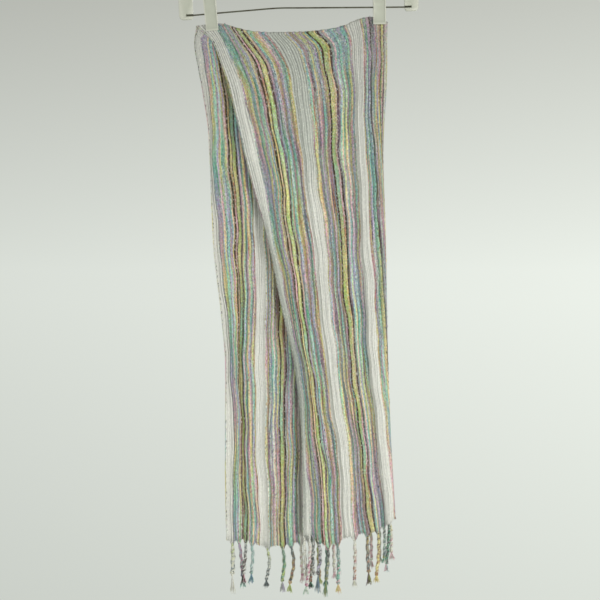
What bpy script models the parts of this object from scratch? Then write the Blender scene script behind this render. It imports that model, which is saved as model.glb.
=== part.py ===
# A crinkled woven scarf, folded in half and held by the two clips of a hanger.
# The origin is where a rail carries the hook; +Z is up and the front faces -Y.
# Sizes are in millimetres, and MM turns them into Blender's metres.

import math
import random

import bmesh
import bpy
from mathutils import Matrix, Vector, geometry

MM = 0.001
TOUCH_GAP = 0.3            # kept between pieces that touch

# The scarf as it was cut, and how it hangs
SCARF_WIDTH = 325.0
CLOTH_WALL = 1.0
COLUMNS = 60               # one side of a crinkle each
FOLD_RADIUS = 3.6          # middle of the cloth where it turns over the top
CLIPPED_RADIUS = 0.8       # the same inside a clip
LIP_DEPTH = 8.0            # of the front fall behind its fold
HANG_DEPTH = 9.0           # from the middle plane to the middle of a fall
FOLD_DEPTH = 4.0           # of the big folds
TURN_STEP = 2.4            # half the room inside the turned back edge
TURN_START = 14.0          # width of the turned back part once it lies fully behind
TURN_WIDTH = 4.0           # of the bend itself, measured across the cut
TURN_CALM = 20.0           # the crinkles fade this near the bend
CRINKLE_AT_TOP = 0.35
CRINKLE_BELOW = 1.4
SPREAD_DROP = 110.0        # the falls reach their hanging depth over this drop,
FOLD_DROP = 160.0          # the big folds their full depth over this one,
CRINKLE_DROP = 120.0       # the crinkles theirs over this one,
RELEASE_DROP = 60.0        # and below a clip they come back over this one
STRIP_HEIGHT = 3.0         # of the strip that carries a fringe
STRIP_GAP = 0.6            # from the hem down to it; less across a scallop's slope
SCALLOP_DEPTH = 4.5        # of the hem at each tassel
SCALLOP_REACH = 8.0

# The hanger, before it tilts
HANGER_TILT = 2.28         # degrees, right end up
BODY_THICKNESS = 8.0
BODY_ROUNDING = 1.2
HUB_TOP = -76.0
HOOK_WIRE = 3.5
HOOK_RADIUS = 22.0         # inside the ring
NECK_TOP = -66.0
NECK_END = -91.5
BAR_WIRE = 2.5
BAR_HEIGHT = -195.3        # of the bar's ends
BAR_REACH = 180.0
LEG_INSIDE = 169.0

# The clips
CLIP_WIDTH = 20.0
CLIP_PLACES = {"left": -140.8, "right": 129.0}
HELD_PLACES = (-130.5, 137.3)
HELD_HALF_WIDTH = 13.0
HELD_FADE = 17.0
HELD_DROP = 14.0
RIM_WIDTH = 1.8
RIM_RAISE = 0.85
LIP_HEIGHT = 3.4
EAR_RADIUS = 3.2
EAR_THICKNESS = 2.0
BAR_HOLE_RADIUS = 1.55
COIL_RADIUS = 2.7
COIL_HALF_LENGTH = 2.7
SPRING_WIRE = 0.9


def read_table(heading, *rows):
    # Turns rows of numbers under a heading into named columns.
    return {name: [row[place] for row in rows] for place, name in enumerate(heading.split())}


# The marked yarns: their place across the cut and the height of their ends.
YARNS = read_table(
    "flat  front_hem  back_hem",
    (0, -1026.3, -1040.7),       # left selvedge
    (25, -1026.3, -1040.7),      # right border of the first white band
    (69, -1045.5, -1037.5),      # first green stripe
    (125, -1031.1, -1050.3),     # second white band
    (181, -1023.1, -1047.1),     # second green stripe
    (237, -1007.1, -1040.7),     # third white band
    (254, -1002.3, -1040.0),     # where the front turns back at the hem
    (325, -1008.7, -1037.5),     # right selvedge
)

# The top edge, which sags between the clips.
RIDGE = read_table(
    "flat height",
    (0, -218.3), (12, -216.2), (25, -214.2), (40, -214.9), (69, -221.2), (97, -227.2),
    (125, -228.2), (160, -227.6), (181, -226.2), (205, -222.6), (222, -217.0),
    (237, -210.2), (254, -205.8), (275, -203.8), (300, -206.5), (325, -212.2),
)

# Level is the share of the way down a fall; the yarns' columns are their X there.
# The front's right edge turns back behind it: turn is that edge, tuck the selvedge.
FRONT_ROWS = read_table(
    "level left band_a green_1 band_b green_2 band_c turn tuck turn_flat turn_lay tuck_lay",
    (0.00, -157, -126, -91, -26, 29, 96, 150, 150, 325, 1.00, 1.00),
    (0.03, -131, -112, -73, -6, 51, 102, 149, 149, 325, 1.00, 1.00),
    (0.07, -118, -98, -55, 6, 57, 103, 149, 149, 325, 0.95, 0.95),
    (0.13, -103, -80, -41, 15, 64, 104, 148, 148, 325, 0.85, 0.80),
    (0.20, -89, -66, -30, 20, 65, 106, 145, 143, 320, 0.75, 0.70),
    (0.30, -70, -49, -14, 30, 72, 109, 143, 139, 313, 0.65, 0.50),
    (0.42, -42, -31, -3, 42, 80, 114, 146, 133, 301, 0.60, 0.25),
    (0.55, -21, -11, 12, 52, 87, 120, 148, 126, 288, 0.60, 0.15),
    (0.68, 2, 10, 27, 63, 97, 126, 150, 117, 276, 0.55, 0.12),
    (0.82, 12, 20, 42, 78, 108, 138, 154, 113, 264, 0.55, 0.10),
    (1.00, 13, 28, 53, 88, 125, 152, 162, 117, 254, 0.55, 0.10),
)
BACK_ROWS = read_table(
    "level left band_a green_1 band_b green_2 band_c right",
    (0.00, -157, -126, -91, -26, 29, 96, 150),
    (0.03, -160, -148, -115, -51, 6, 83, 149),
    (0.07, -155, -142, -112, -61, -6, 69, 144),
    (0.13, -146, -137, -106, -64, -14, 54, 134),
    (0.20, -138, -132, -100, -62, -18, 42, 122),
    (0.30, -134, -128, -94, -58, -20, 30, 102),
    (0.42, -130, -119, -87, -53, -21, 24, 86),
    (0.55, -118, -108, -86, -52, -18, 19, 75),
    (0.68, -110, -100, -85, -53, -18, 16, 69),
    (0.82, -111, -96, -82, -51, -18, 14, 66),
    (1.00, -109, -98, -79, -45, -17, 16, 67),
)
FREE_EDGE_LAY = 0.78       # share of the hanging depth at a free selvedge

# The big folds: how far each yarn stands out, as a share of FOLD_DEPTH.
FRONT_FOLDS = read_table(
    "flat outward",
    (0, -0.3), (12, 1.0), (36, -0.9), (64, 0.75), (96, -0.8), (125, 1.0), (156, -1.0),
    (192, 0.85), (214, -0.6), (238, 1.0), (262, -0.2), (290, 0.4), (310, -0.3), (325, 0.0),
)
BACK_FOLDS = read_table(
    "flat outward",
    (0, 0.2), (12, 0.8), (40, -0.9), (68, 0.9), (92, -0.7), (124, 1.0), (152, -0.6),
    (178, 0.8), (205, -0.8), (236, 0.9), (265, -0.8), (295, 0.8), (325, -0.2),
)

# The tassels: where across the cut each starts, how far down its tip and its knot
# are, how far it bows and leans to the right, how far its tip swings out, and its
# thickness.
FRONT_TASSELS = read_table(
    "root drop knot bow lean swing thick",
    (4, 68, 50, 0, 4, 1, 3.4),
    (20, 94, 74, 2, -6, 5, 3.8),
    (33, 64, 46, -1, -2, 0, 3.6),
    (46, 84, 47, 3, -1, 4, 4.2),
    (73, 80, 46, 1, -5, 2, 4.0),
    (98, 80, 58, 1, 1, 5, 4.4),
    (137, 80, 62, 1, 0, 2, 3.8),
    (167, 82, 54, -1, 2, 4, 4.4),
    (197, 82, 64, 2, -3, 3, 4.0),
    (219, 58, 44, 1, 0, 5, 3.6),
    (235, 78, 58, 1, -4, 0, 4.0),
    (278, 64, 46, 1, 3, 0, 3.6),
    (300, 66, 50, 0, 1, -1, 3.6),
    (318, 72, 54, 1, 2, -1, 3.6),
)
BACK_TASSELS = read_table(
    "root drop knot bow lean swing thick",
    (19, 72, 45, 1, 0, 1, 3.6),
    (46, 76, 50, 1, 7, 5, 3.8),
    (71, 72, 48, 1, -4, 0, 3.6),
    (89, 68, 44, 2, -1, 4, 3.8),
    (132, 64, 46, 4, -2, 2, 3.8),
    (178, 76, 50, 3, 0, 4, 4.2),
    (201, 76, 56, 5, -2, 1, 4.0),
    (226, 64, 48, 0, 3, 4, 3.6),
    (250, 76, 58, 1, 2, 1, 3.8),
    (276, 70, 52, -1, 2, 4, 3.8),
    (300, 74, 56, 1, -1, 1, 3.8),
    (319, 62, 46, 0, 2, 4, 3.6),
)
CORD_STEPS = 6
CORD_TWIST = math.radians(45)    # from one point of a cord to the next
ROOT_TAPER = 0.55                # of a cord's thickness where it leaves the strip
CORD_WAIST = 0.85                # and between its swells
KNOT_SWELL = 1.5
TUFT_STRANDS = 3
TUFT_SPREAD = 3.2
TUFT_THICKNESS = 1.3

# The hanger body's right half, from the hub's top round to under the hub.
BODY_OUTLINE = read_table(
    "across height",
    (7, -76), (9, -79), (14, -88), (60, -98), (150, -131), (178, -141), (189, -147),
    (192, -156), (191.5, -197), (188, -201.5), (172, -201.5), (169, -198), (169, -165),
    (165, -157), (156, -152), (60, -118), (14, -106),
)
# How far the loaded bar has bowed up from the line between its ends.
BAR_BOW = read_table(
    "across rise",
    (-180, 0.0), (-141, 2.0), (-80, 4.8), (-30, 6.7), (2, 5.7), (116, 2.0), (180, 0.0),
)
# The front jaw seen from its side: Y and Z from the bar, inner face then outer.
JAW_INNER = read_table(
    "out up",
    (-1.65, -27.5), (-1.65, -13), (-4.2, -4), (-4.6, 4), (-10, 24),
)
JAW_OUTER = read_table(
    "out up",
    (-12.8, 24), (-7.6, 3), (-7.0, -6), (-4.4, -17), (-4.2, -27.5),
)


# Scene and shared helpers

def clear_scene():
    for old in list(bpy.data.objects):
        bpy.data.objects.remove(old, do_unlink=True)


def make_collection(name):
    collection = bpy.data.collections.new(name)
    bpy.context.scene.collection.children.link(collection)
    return collection


def make_material(name, colour, roughness, metallic=0.0):
    material = bpy.data.materials.new(name)
    material.use_nodes = True
    shader = material.node_tree.nodes["Principled BSDF"]
    shader.inputs["Base Color"].default_value = (*colour, 1.0)
    shader.inputs["Roughness"].default_value = roughness
    shader.inputs["Metallic"].default_value = metallic
    return material


def add_object(name, mesh, collection, material=None, parent=None):
    added = bpy.data.objects.new(name, mesh)
    collection.objects.link(added)
    if material:
        mesh.materials.clear()
        mesh.materials.append(material)
    if parent:
        added.parent = parent
    if collection is cutters:
        added.hide_render = True
        added.display_type = "WIRE"
    return added


def ease(share):
    # A smooth start and a smooth end between 0 and 1.
    share = min(max(share, 0.0), 1.0)
    return share * share * (3.0 - 2.0 * share)


def mix(first, second, share):
    return first + (second - first) * share


def smooth_through(places, values, place):
    # A curve through the given points that never overshoots them.
    if place <= places[0]:
        return values[0]
    if place >= places[-1]:
        return values[-1]
    slopes = [
        (values[step + 1] - values[step]) / (places[step + 1] - places[step])
        for step in range(len(places) - 1)
    ]

    def slope_at(point):
        if point == 0:
            return slopes[0]
        if point == len(slopes):
            return slopes[-1]
        before, after = slopes[point - 1], slopes[point]
        if before * after <= 0.0:
            return 0.0
        return 2.0 * before * after / (before + after)

    step = 0
    while place > places[step + 1]:
        step += 1
    span = places[step + 1] - places[step]
    share = (place - places[step]) / span
    left = share - 1.0
    return (
        (1.0 + 2.0 * share) * left * left * values[step]
        + share * left * left * span * slope_at(step)
        + share * share * (3.0 - 2.0 * share) * values[step + 1]
        + share * share * left * span * slope_at(step + 1)
    )


# The shape of the hanging cloth

FALLS = {
    "front": {
        "side": -1.0,
        "rows": FRONT_ROWS,
        "hem": YARNS["front_hem"],
        "folds": FRONT_FOLDS,
        "tassels": FRONT_TASSELS,
    },
    "back": {
        "side": 1.0,
        "rows": BACK_ROWS,
        "hem": YARNS["back_hem"],
        "folds": BACK_FOLDS,
        "tassels": BACK_TASSELS,
    },
}
YARN_COLUMNS = ("left", "band_a", "green_1", "band_b", "green_2", "band_c")


def at_level(rows, column, level):
    return smooth_through(rows["level"], rows[column], level)


def turn_place(rows, level):
    # Where across the cut a fall's right edge turns back.
    if "turn" in rows:
        return at_level(rows, "turn_flat", level)
    return SCARF_WIDTH


def turned_share(rows, level):
    # 0 where the right edge hangs free, and 1 where it has fully turned back.
    return ease((SCARF_WIDTH - turn_place(rows, level)) / TURN_START)


def across_fall(rows, flat, level):
    # World X and share of the hanging depth of one yarn at one level.
    flats = list(YARNS["flat"][:6])
    places = [at_level(rows, column, level) for column in YARN_COLUMNS]
    lays = [FREE_EDGE_LAY] + [1.0] * 5
    edge = at_level(rows, "turn" if "turn" in rows else "right", level)
    edge_lay = at_level(rows, "turn_lay", level) if "turn" in rows else FREE_EDGE_LAY
    free_flats = flats + [SCARF_WIDTH]
    across = smooth_through(free_flats, places + [edge], flat)
    lay = smooth_through(free_flats, lays + [edge_lay], flat)
    turned = turned_share(rows, level)
    if turned > 0.0:
        flats += [turn_place(rows, level), SCARF_WIDTH]
        places += [edge, at_level(rows, "tuck", level)]
        lays += [edge_lay, at_level(rows, "tuck_lay", level)]
        across = mix(across, smooth_through(flats, places, flat), turned)
        lay = mix(lay, smooth_through(flats, lays, flat), turned)
    return across, lay


def ridge_height(flat):
    return smooth_through(RIDGE["flat"], RIDGE["height"], flat)


def hem_height(fall, flat):
    # The tassels pull the hem down into scallops.
    dip = sum(
        math.exp(-((flat - root) / SCALLOP_REACH) ** 2)
        for root in fall["tassels"]["root"]
    )
    return smooth_through(YARNS["flat"], fall["hem"], flat) - SCALLOP_DEPTH * min(dip, 1.0)


def fall_length(fall, flat):
    return ridge_height(flat) - FOLD_RADIUS - hem_height(fall, flat)


def held_share(fall, flat):
    # 1 for a yarn inside a clip, and 0 well away from it.
    held = 0.0
    for drop in (0.0, 0.5 * HELD_DROP, HELD_DROP):
        across, _ = across_fall(fall["rows"], flat, drop / fall_length(fall, flat))
        nearest = min(abs(across - place) for place in HELD_PLACES)
        held = max(held, 1.0 - ease((nearest - HELD_HALF_WIDTH) / HELD_FADE))
    return held


def make_crinkles(seed):
    # Every second column is a ridge and the others are furrows, of uneven strength.
    chance = random.Random(seed)
    return [(1 if column % 2 else -1) * chance.uniform(0.5, 1.3) for column in range(COLUMNS + 1)]


CRINKLES = make_crinkles(7)


def crinkle_at(flat, drop, held):
    strength = CRINKLES[round(flat / SCARF_WIDTH * COLUMNS)]
    depth = mix(CRINKLE_AT_TOP, CRINKLE_BELOW, ease(drop / CRINKLE_DROP))
    loose = 1.0 - held * (1.0 - ease((drop - HELD_DROP) / RELEASE_DROP))
    return strength * depth * loose


def fall_point(fall, flat, drop):
    # A point of a fall, in millimetres, from its place across the cut and its drop.
    rows = fall["rows"]
    level = drop / fall_length(fall, flat)
    across, lay = across_fall(rows, flat, level)
    held = held_share(fall, flat)
    radius = mix(FOLD_RADIUS, CLIPPED_RADIUS, held)
    spread = ease((drop - HELD_DROP * held) / SPREAD_DROP)
    depth = mix(radius, HANG_DEPTH * lay, spread)

    # Behind the turned edge the folds and crinkles are flatter, and a step in depth
    # keeps the two layers apart.
    beyond = flat - turn_place(rows, level)
    turned = turned_share(rows, level)
    behind = turned * ease(0.5 * beyond / TURN_WIDTH + 0.5)
    near_turn = math.exp(-(beyond / TURN_CALM) ** 2)
    wave = smooth_through(fall["folds"]["flat"], fall["folds"]["outward"], flat)
    depth += FOLD_DEPTH * wave * ease(drop / FOLD_DROP) * (1.0 - 0.7 * behind)
    depth -= TURN_STEP * turned * math.tanh(beyond / TURN_WIDTH) * max(behind, near_turn)
    depth += crinkle_at(flat, drop, held) * (1.0 - max(0.5 * behind, 0.9 * near_turn))
    top = ridge_height(flat) - radius
    height = top - drop * (top - hem_height(fall, flat)) / fall_length(fall, flat)
    return Vector((across, fall["side"] * depth, height))


def ridge_point(flat, turned):
    # A point of the fold over the top; turned goes from 0 in front to 1 behind.
    front, back = FALLS["front"], FALLS["back"]
    start = fall_point(front, flat, 0.0)
    end = fall_point(back, flat, 0.0)
    angle = math.pi * turned
    radius = abs(mix(start.y, -end.y, turned))
    centre = mix(start.z, end.z, turned)
    across = mix(start.x, end.x, turned)
    return Vector((across, -radius * math.cos(angle), centre + radius * math.sin(angle)))


# Cloth pieces

# The rows of points down each fall, closer together near the clips and, in front,
# where the edge turns back.
FRONT_LEVELS = (0.0, 0.016, 0.045, 0.1, 0.17, 0.23, 0.3, 0.38, 0.46, 0.54, 0.61, 0.68, 0.76, 0.84, 0.92, 1.0)
BACK_LEVELS = (0.0, 0.016, 0.045, 0.1, 0.18, 0.28, 0.4, 0.55, 0.7, 0.85, 1.0)
RIDGE_STEPS = 3


def flat_places():
    return [SCARF_WIDTH * column / COLUMNS for column in range(COLUMNS + 1)]


def make_sheet(name, lines, material):
    # A grid whose rows follow the given lines of points, thickened to a closed wall.
    sheet = bmesh.new()
    bmesh.ops.create_grid(sheet, x_segments=COLUMNS, y_segments=len(lines) - 1, size=1.0)
    sheet.verts.ensure_lookup_table()
    for row, line in enumerate(lines):
        for column, point in enumerate(line):
            sheet.verts[row * (COLUMNS + 1) + column].co = point * MM
    bmesh.ops.triangulate(sheet, faces=sheet.faces, quad_method="SHORT_EDGE")
    mesh = bpy.data.meshes.new(name)
    sheet.to_mesh(mesh)
    sheet.free()
    added = add_object(name, mesh, parts, material)
    thicken = added.modifiers.new("wall", "SOLIDIFY")
    thicken.thickness = CLOTH_WALL * MM
    thicken.offset = 0.0
    return added


def make_front_fall():
    # From the hem up, over the top and down to the lip behind.
    front, back = FALLS["front"], FALLS["back"]
    flats = flat_places()
    lines = [[fall_point(front, flat, fall_length(front, flat) * level) for flat in flats]
             for level in reversed(FRONT_LEVELS)]
    for step in range(1, RIDGE_STEPS + 1):
        lines.append([ridge_point(flat, step / RIDGE_STEPS) for flat in flats])
    lines.append([fall_point(back, flat, LIP_DEPTH) for flat in flats])
    return make_sheet("front_fall", lines, cloth_material)


def make_back_fall():
    back = FALLS["back"]
    flats = flat_places()
    first_drop = LIP_DEPTH + TOUCH_GAP
    lines = [[fall_point(back, flat, max(fall_length(back, flat) * level, first_drop))
              for flat in flats]
             for level in BACK_LEVELS]
    return make_sheet("back_fall", lines, cloth_material)


def strand_curve(name, points, radii, twist=0.0):
    # A four-sided strand along the points.
    curve = bpy.data.curves.new(name, "CURVE")
    curve.dimensions = "3D"
    curve.bevel_depth = MM
    curve.bevel_resolution = 0
    curve.use_fill_caps = True
    spline = curve.splines.new("POLY")
    spline.points.add(len(points) - 1)
    for place, (point, radius) in enumerate(zip(points, radii)):
        spline.points[place].co = (*(point * MM), 1.0)
        spline.points[place].radius = radius
        spline.points[place].tilt = twist * place
    return curve


def meshes_from_curves(curves, matrix=Matrix()):
    # The curves' solids with their caps welded on, moved by the matrix.
    holders = [bpy.data.objects.new(curve.name, curve) for curve in curves]
    for holder in holders:
        cutters.objects.link(holder)
    depsgraph = bpy.context.evaluated_depsgraph_get()
    meshes = [bpy.data.meshes.new_from_object(holder.evaluated_get(depsgraph)) for holder in holders]
    for holder in holders:
        bpy.data.objects.remove(holder, do_unlink=True)
    for mesh in meshes:
        welded = bmesh.new()
        welded.from_mesh(mesh)
        bmesh.ops.remove_doubles(welded, verts=welded.verts, dist=1e-6)
        bmesh.ops.transform(welded, matrix=matrix, verts=welded.verts)
        bmesh.ops.recalc_face_normals(welded, faces=welded.faces)
        welded.to_mesh(mesh)
        welded.free()
    return meshes


def tassel_curves(name, fall, tassel):
    # One twisted cord with its knot, and the loose ends below it.
    hem_drop = fall_length(fall, tassel["root"])
    root = fall_point(fall, tassel["root"], hem_drop)
    root.z -= STRIP_GAP + 0.4 * STRIP_HEIGHT
    side = fall["side"]
    rest_depth = min(abs(root.y), HANG_DEPTH) * side
    radius = 0.5 * tassel["thick"]

    def hang(share):
        # The middle of the tassel at a share of its drop.
        bow = tassel["bow"] * math.sin(math.pi * min(share * tassel["drop"] / tassel["knot"], 1.0))
        return Vector((
            root.x + bow + tassel["lean"] * share,
            mix(root.y, rest_depth, ease(2.0 * share)) + side * tassel["swing"] * ease(2.5 * share),
            root.z - tassel["drop"] * share,
        ))

    knot_share = tassel["knot"] / tassel["drop"]
    shares = [knot_share * step / CORD_STEPS for step in range(CORD_STEPS)]
    radii = [ROOT_TAPER * radius]
    radii += [radius * (1.0 if step % 2 else CORD_WAIST) for step in range(1, CORD_STEPS)]
    knot_size = 0.7 * tassel["thick"] / tassel["drop"]
    shares += [knot_share, knot_share + knot_size, knot_share + 2.0 * knot_size]
    radii += [CORD_WAIST * radius, KNOT_SWELL * radius, ROOT_TAPER * radius]
    curves = [strand_curve(name, [hang(share) for share in shares], radii, CORD_TWIST)]
    knot = hang(knot_share + knot_size)
    tip = hang(1.0)
    for strand in range(TUFT_STRANDS):
        angle = 2.0 * math.pi * strand / TUFT_STRANDS + tassel["root"]
        spread = Vector((math.cos(angle), math.sin(angle), 0.35 * math.sin(3.0 * angle)))
        start = knot + spread * 0.25 * TUFT_SPREAD
        end = tip + spread * TUFT_SPREAD
        end.z = min(end.z, tip.z + 0.3 * TUFT_SPREAD)
        curves.append(strand_curve(name, [start, end], [0.5 * TUFT_THICKNESS, 0.35 * TUFT_THICKNESS]))
    return curves


def make_fringe(name, fall):
    # A narrow strip just below the hem, and the tassels that grow from it.
    hem = [fall_point(fall, flat, fall_length(fall, flat)) for flat in flat_places()]
    lines = [[point - Vector((0.0, 0.0, below)) for point in hem]
             for below in (STRIP_GAP, STRIP_GAP + STRIP_HEIGHT)]
    strip = make_sheet(name, lines, fringe_material)
    table = fall["tassels"]
    curves = []
    for number in range(len(table["root"])):
        tassel = {column: values[number] for column, values in table.items()}
        curves += tassel_curves(f"{name}_strand_{number}", fall, tassel)
    strands = bpy.data.collections.new(name + "_strands")
    cutters.children.link(strands)
    for mesh in meshes_from_curves(curves):
        strand = bpy.data.objects.new(name + "_strand", mesh)
        strands.objects.link(strand)
        strand.hide_render = True
        strand.display_type = "WIRE"
    join = strip.modifiers.new("strands", "BOOLEAN")
    join.operation = "UNION"
    join.solver = "EXACT"
    join.operand_type = "COLLECTION"
    join.collection = strands
    return strip


# Hanger pieces

STAND_UP = Matrix.Rotation(math.radians(90), 4, "X")                  # an outline's height becomes Z
FACE_SIDEWAYS = Matrix.Rotation(math.radians(90), 4, "Z") @ STAND_UP  # and its width Y
ALONG_X = Matrix.Rotation(math.radians(90), 4, "Y")


def outline_mesh(name, points, thickness, turn, bend=Matrix()):
    # A closed flat outline given its thickness, then turned into place.
    curve = bpy.data.curves.new(name, "CURVE")
    curve.dimensions = "2D"
    curve.fill_mode = "BOTH"
    curve.extrude = 0.5 * thickness * MM
    spline = curve.splines.new("POLY")
    spline.points.add(len(points) - 1)
    for place, (across, up) in enumerate(points):
        spline.points[place].co = (across * MM, up * MM, 0.0, 1.0)
    spline.use_cyclic_u = True
    return meshes_from_curves([curve], bend @ turn)[0]


def wire_mesh(name, points, thickness):
    curve = bpy.data.curves.new(name, "CURVE")
    curve.dimensions = "3D"
    curve.bevel_depth = 0.5 * thickness * MM
    curve.bevel_resolution = 2
    curve.use_fill_caps = True
    spline = curve.splines.new("POLY")
    spline.points.add(len(points) - 1)
    for place, point in enumerate(points):
        spline.points[place].co = (*(Vector(point) * MM), 1.0)
    return meshes_from_curves([curve])[0]


def add_boolean(target, cutter, operation="DIFFERENCE"):
    cut = target.modifiers.new(operation.lower(), "BOOLEAN")
    cut.operation = operation
    cut.solver = "EXACT"
    cut.object = cutter


def round_edges(target, width):
    bevel = target.modifiers.new("rounding", "BEVEL")
    bevel.width = width * MM
    bevel.segments = 2
    bevel.limit_method = "ANGLE"
    bevel.angle_limit = math.radians(35)


def box_mesh(name, low, high):
    box = bmesh.new()
    bmesh.ops.create_cube(box, size=1.0)
    low, high = Vector(low), Vector(high)
    size = (high - low) * MM
    bmesh.ops.scale(box, vec=size, verts=box.verts)
    bmesh.ops.translate(box, vec=(low + high) * 0.5 * MM, verts=box.verts)
    mesh = bpy.data.meshes.new(name)
    box.to_mesh(mesh)
    box.free()
    return mesh


def cylinder_mesh(name, radius, length, turn, centre=(0, 0, 0)):
    cylinder = bmesh.new()
    bmesh.ops.create_cone(cylinder, cap_ends=True, segments=16,
                          radius1=radius * MM, radius2=radius * MM, depth=length * MM)
    place = Matrix.Translation(Vector(centre) * MM) @ turn
    bmesh.ops.transform(cylinder, matrix=place, verts=cylinder.verts)
    mesh = bpy.data.meshes.new(name)
    cylinder.to_mesh(mesh)
    cylinder.free()
    return mesh


def bar_height(across):
    return BAR_HEIGHT + smooth_through(BAR_BOW["across"], BAR_BOW["rise"], across)


def make_hanger_body():
    half = list(zip(BODY_OUTLINE["across"], BODY_OUTLINE["height"]))
    outline = half + [(-across, height) for across, height in reversed(half)]
    mesh = outline_mesh("hanger_body", outline, BODY_THICKNESS, STAND_UP)
    body = add_object("hanger_body", mesh, parts, plastic_material, hanger)
    round_edges(body, BODY_ROUNDING)
    socket_radius = 0.5 * HOOK_WIRE + TOUCH_GAP
    socket_depth = HUB_TOP - NECK_END + TOUCH_GAP + 1.0
    socket = cylinder_mesh("hook_socket", socket_radius, socket_depth, Matrix(),
                           (0, 0, HUB_TOP + 1.0 - 0.5 * socket_depth))
    add_boolean(body, add_object("hook_socket", socket, cutters, parent=hanger))
    half_slot = 0.5 * BAR_WIRE + TOUCH_GAP
    for side in (-1, 1):
        low, high = sorted((side * (LEG_INSIDE - 2.0), side * (BAR_REACH + TOUCH_GAP)))
        top = bar_height(side * LEG_INSIDE) + half_slot
        slot = box_mesh("bar_slot", (low, -BODY_THICKNESS, BAR_HEIGHT - half_slot), (high, half_slot, top))
        add_boolean(body, add_object("bar_slot", slot, cutters, parent=hanger))
    return body


def hook_path():
    # Over the rail in one arc, then an S bend into the neck.
    middle = HOOK_RADIUS + 0.5 * HOOK_WIRE
    start, end = math.radians(195), math.radians(-50)
    arc_steps = 18
    path = []
    for step in range(arc_steps + 1):
        angle = mix(start, end, step / arc_steps)
        path.append(Vector((middle * math.cos(angle), 0.0, middle * math.sin(angle) - HOOK_RADIUS)))
    heading = Vector((math.sin(end), 0.0, -math.cos(end)))
    neck = Vector((0.0, 0.0, NECK_TOP))
    reach = 13.0
    above_neck = neck + Vector((0.0, 0.0, reach))
    bend = geometry.interpolate_bezier(path[-1], path[-1] + heading * reach, above_neck, neck, 9)
    return path + bend[1:] + [Vector((0.0, 0.0, NECK_END))]


def make_hook():
    mesh = wire_mesh("hanger_hook", hook_path(), HOOK_WIRE)
    return add_object("hanger_hook", mesh, parts, steel_material, hanger)


def make_bar():
    steps = 16
    points = []
    for step in range(steps + 1):
        across = mix(-BAR_REACH, BAR_REACH, step / steps)
        points.append((across, 0.0, bar_height(across)))
    mesh = wire_mesh("hanger_bar", points, BAR_WIRE)
    return add_object("hanger_bar", mesh, parts, steel_material, hanger)


def jaw_outline():
    inner = list(zip(JAW_INNER["out"], JAW_INNER["up"]))
    return inner + list(zip(JAW_OUTER["out"], JAW_OUTER["up"]))


def recess_outline():
    # The hollow between the rims of a jaw's outer face, from above the handle's top
    # down to the lip.
    floor = [(out + RIM_RAISE, up) for out, up in zip(JAW_OUTER["out"], JAW_OUTER["up"])]
    lip_top = JAW_OUTER["up"][-1] + LIP_HEIGHT
    floor[0] = (floor[0][0], floor[0][1] + 1.0)
    floor[-1] = (floor[-1][0], lip_top)
    beyond = JAW_OUTER["out"][0] - 4.0
    return floor + [(beyond, lip_top), (beyond, floor[0][1])]


def ear_outline():
    # Round the bar at one end, and into the jaw's wall at the other.
    steps = 10
    half_turn = math.radians(100)
    angles = [mix(-half_turn, half_turn, step / steps) for step in range(steps + 1)]
    round_end = [(EAR_RADIUS * math.cos(angle), EAR_RADIUS * math.sin(angle)) for angle in angles]
    inside_wall = 0.5 * (JAW_INNER["out"][3] + JAW_OUTER["out"][1])
    return round_end + [(inside_wall, 0.7 * EAR_RADIUS), (inside_wall, -0.7 * EAR_RADIUS)]


def make_jaw(name, clip, side):
    # side is -1 for the front jaw and 1 for the back one.
    face = Matrix.Scale(-side, 4, (0, 1, 0))
    mesh = outline_mesh(name, jaw_outline(), CLIP_WIDTH, FACE_SIDEWAYS, face)
    jaw = add_object(name, mesh, parts, plastic_material, clip)
    recess_width = CLIP_WIDTH - 2.0 * RIM_WIDTH
    recess = outline_mesh(name + "_recess", recess_outline(), recess_width, FACE_SIDEWAYS, face)
    add_boolean(jaw, add_object(name + "_recess", recess, cutters, parent=clip))
    inside = COIL_HALF_LENGTH + TOUCH_GAP
    if side > 0:
        inside += EAR_THICKNESS + TOUCH_GAP
    for end in (-1, 1):
        middle = end * (inside + 0.5 * EAR_THICKNESS) * MM
        place = Matrix.Translation((middle, 0.0, 0.0)) @ face
        ear = outline_mesh(name + "_ear", ear_outline(), EAR_THICKNESS, FACE_SIDEWAYS, place)
        add_boolean(jaw, add_object(name + "_ear", ear, cutters, parent=clip), "UNION")
    hole = cylinder_mesh(name + "_hole", BAR_HOLE_RADIUS, CLIP_WIDTH + 2.0, ALONG_X)
    add_boolean(jaw, add_object(name + "_hole", hole, cutters, parent=clip))
    return jaw


def make_spring(name, clip):
    # The coil round the bar and the two legs that push the handles apart.
    coil = cylinder_mesh(name, COIL_RADIUS, 2 * COIL_HALF_LENGTH, ALONG_X)
    spring = add_object(name, coil, parts, steel_material, clip)
    for side in (-1, 1):
        lean = side * 1.2
        leg = wire_mesh(name + "_leg", [(lean, side * 2.2, 0.6), (lean, side * 5.6, 11.0)], SPRING_WIRE)
        add_boolean(spring, add_object(name + "_leg", leg, cutters, parent=clip), "UNION")
    hole = cylinder_mesh(name + "_hole", BAR_HOLE_RADIUS, 4 * COIL_HALF_LENGTH, ALONG_X)
    add_boolean(spring, add_object(name + "_hole", hole, cutters, parent=clip))
    return spring


def make_clip(side_name, across):
    clip = bpy.data.objects.new("clip_" + side_name, None)
    parts.objects.link(clip)
    clip.parent = hanger
    clip.location = Vector((across, 0.0, bar_height(across))) * MM
    slope = (bar_height(across + 1.0) - bar_height(across - 1.0)) / 2.0
    clip.rotation_euler.y = -math.atan(slope)
    make_jaw(f"clip_{side_name}_front", clip, -1)
    make_jaw(f"clip_{side_name}_back", clip, 1)
    make_spring(f"clip_{side_name}_spring", clip)


# Build

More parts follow.
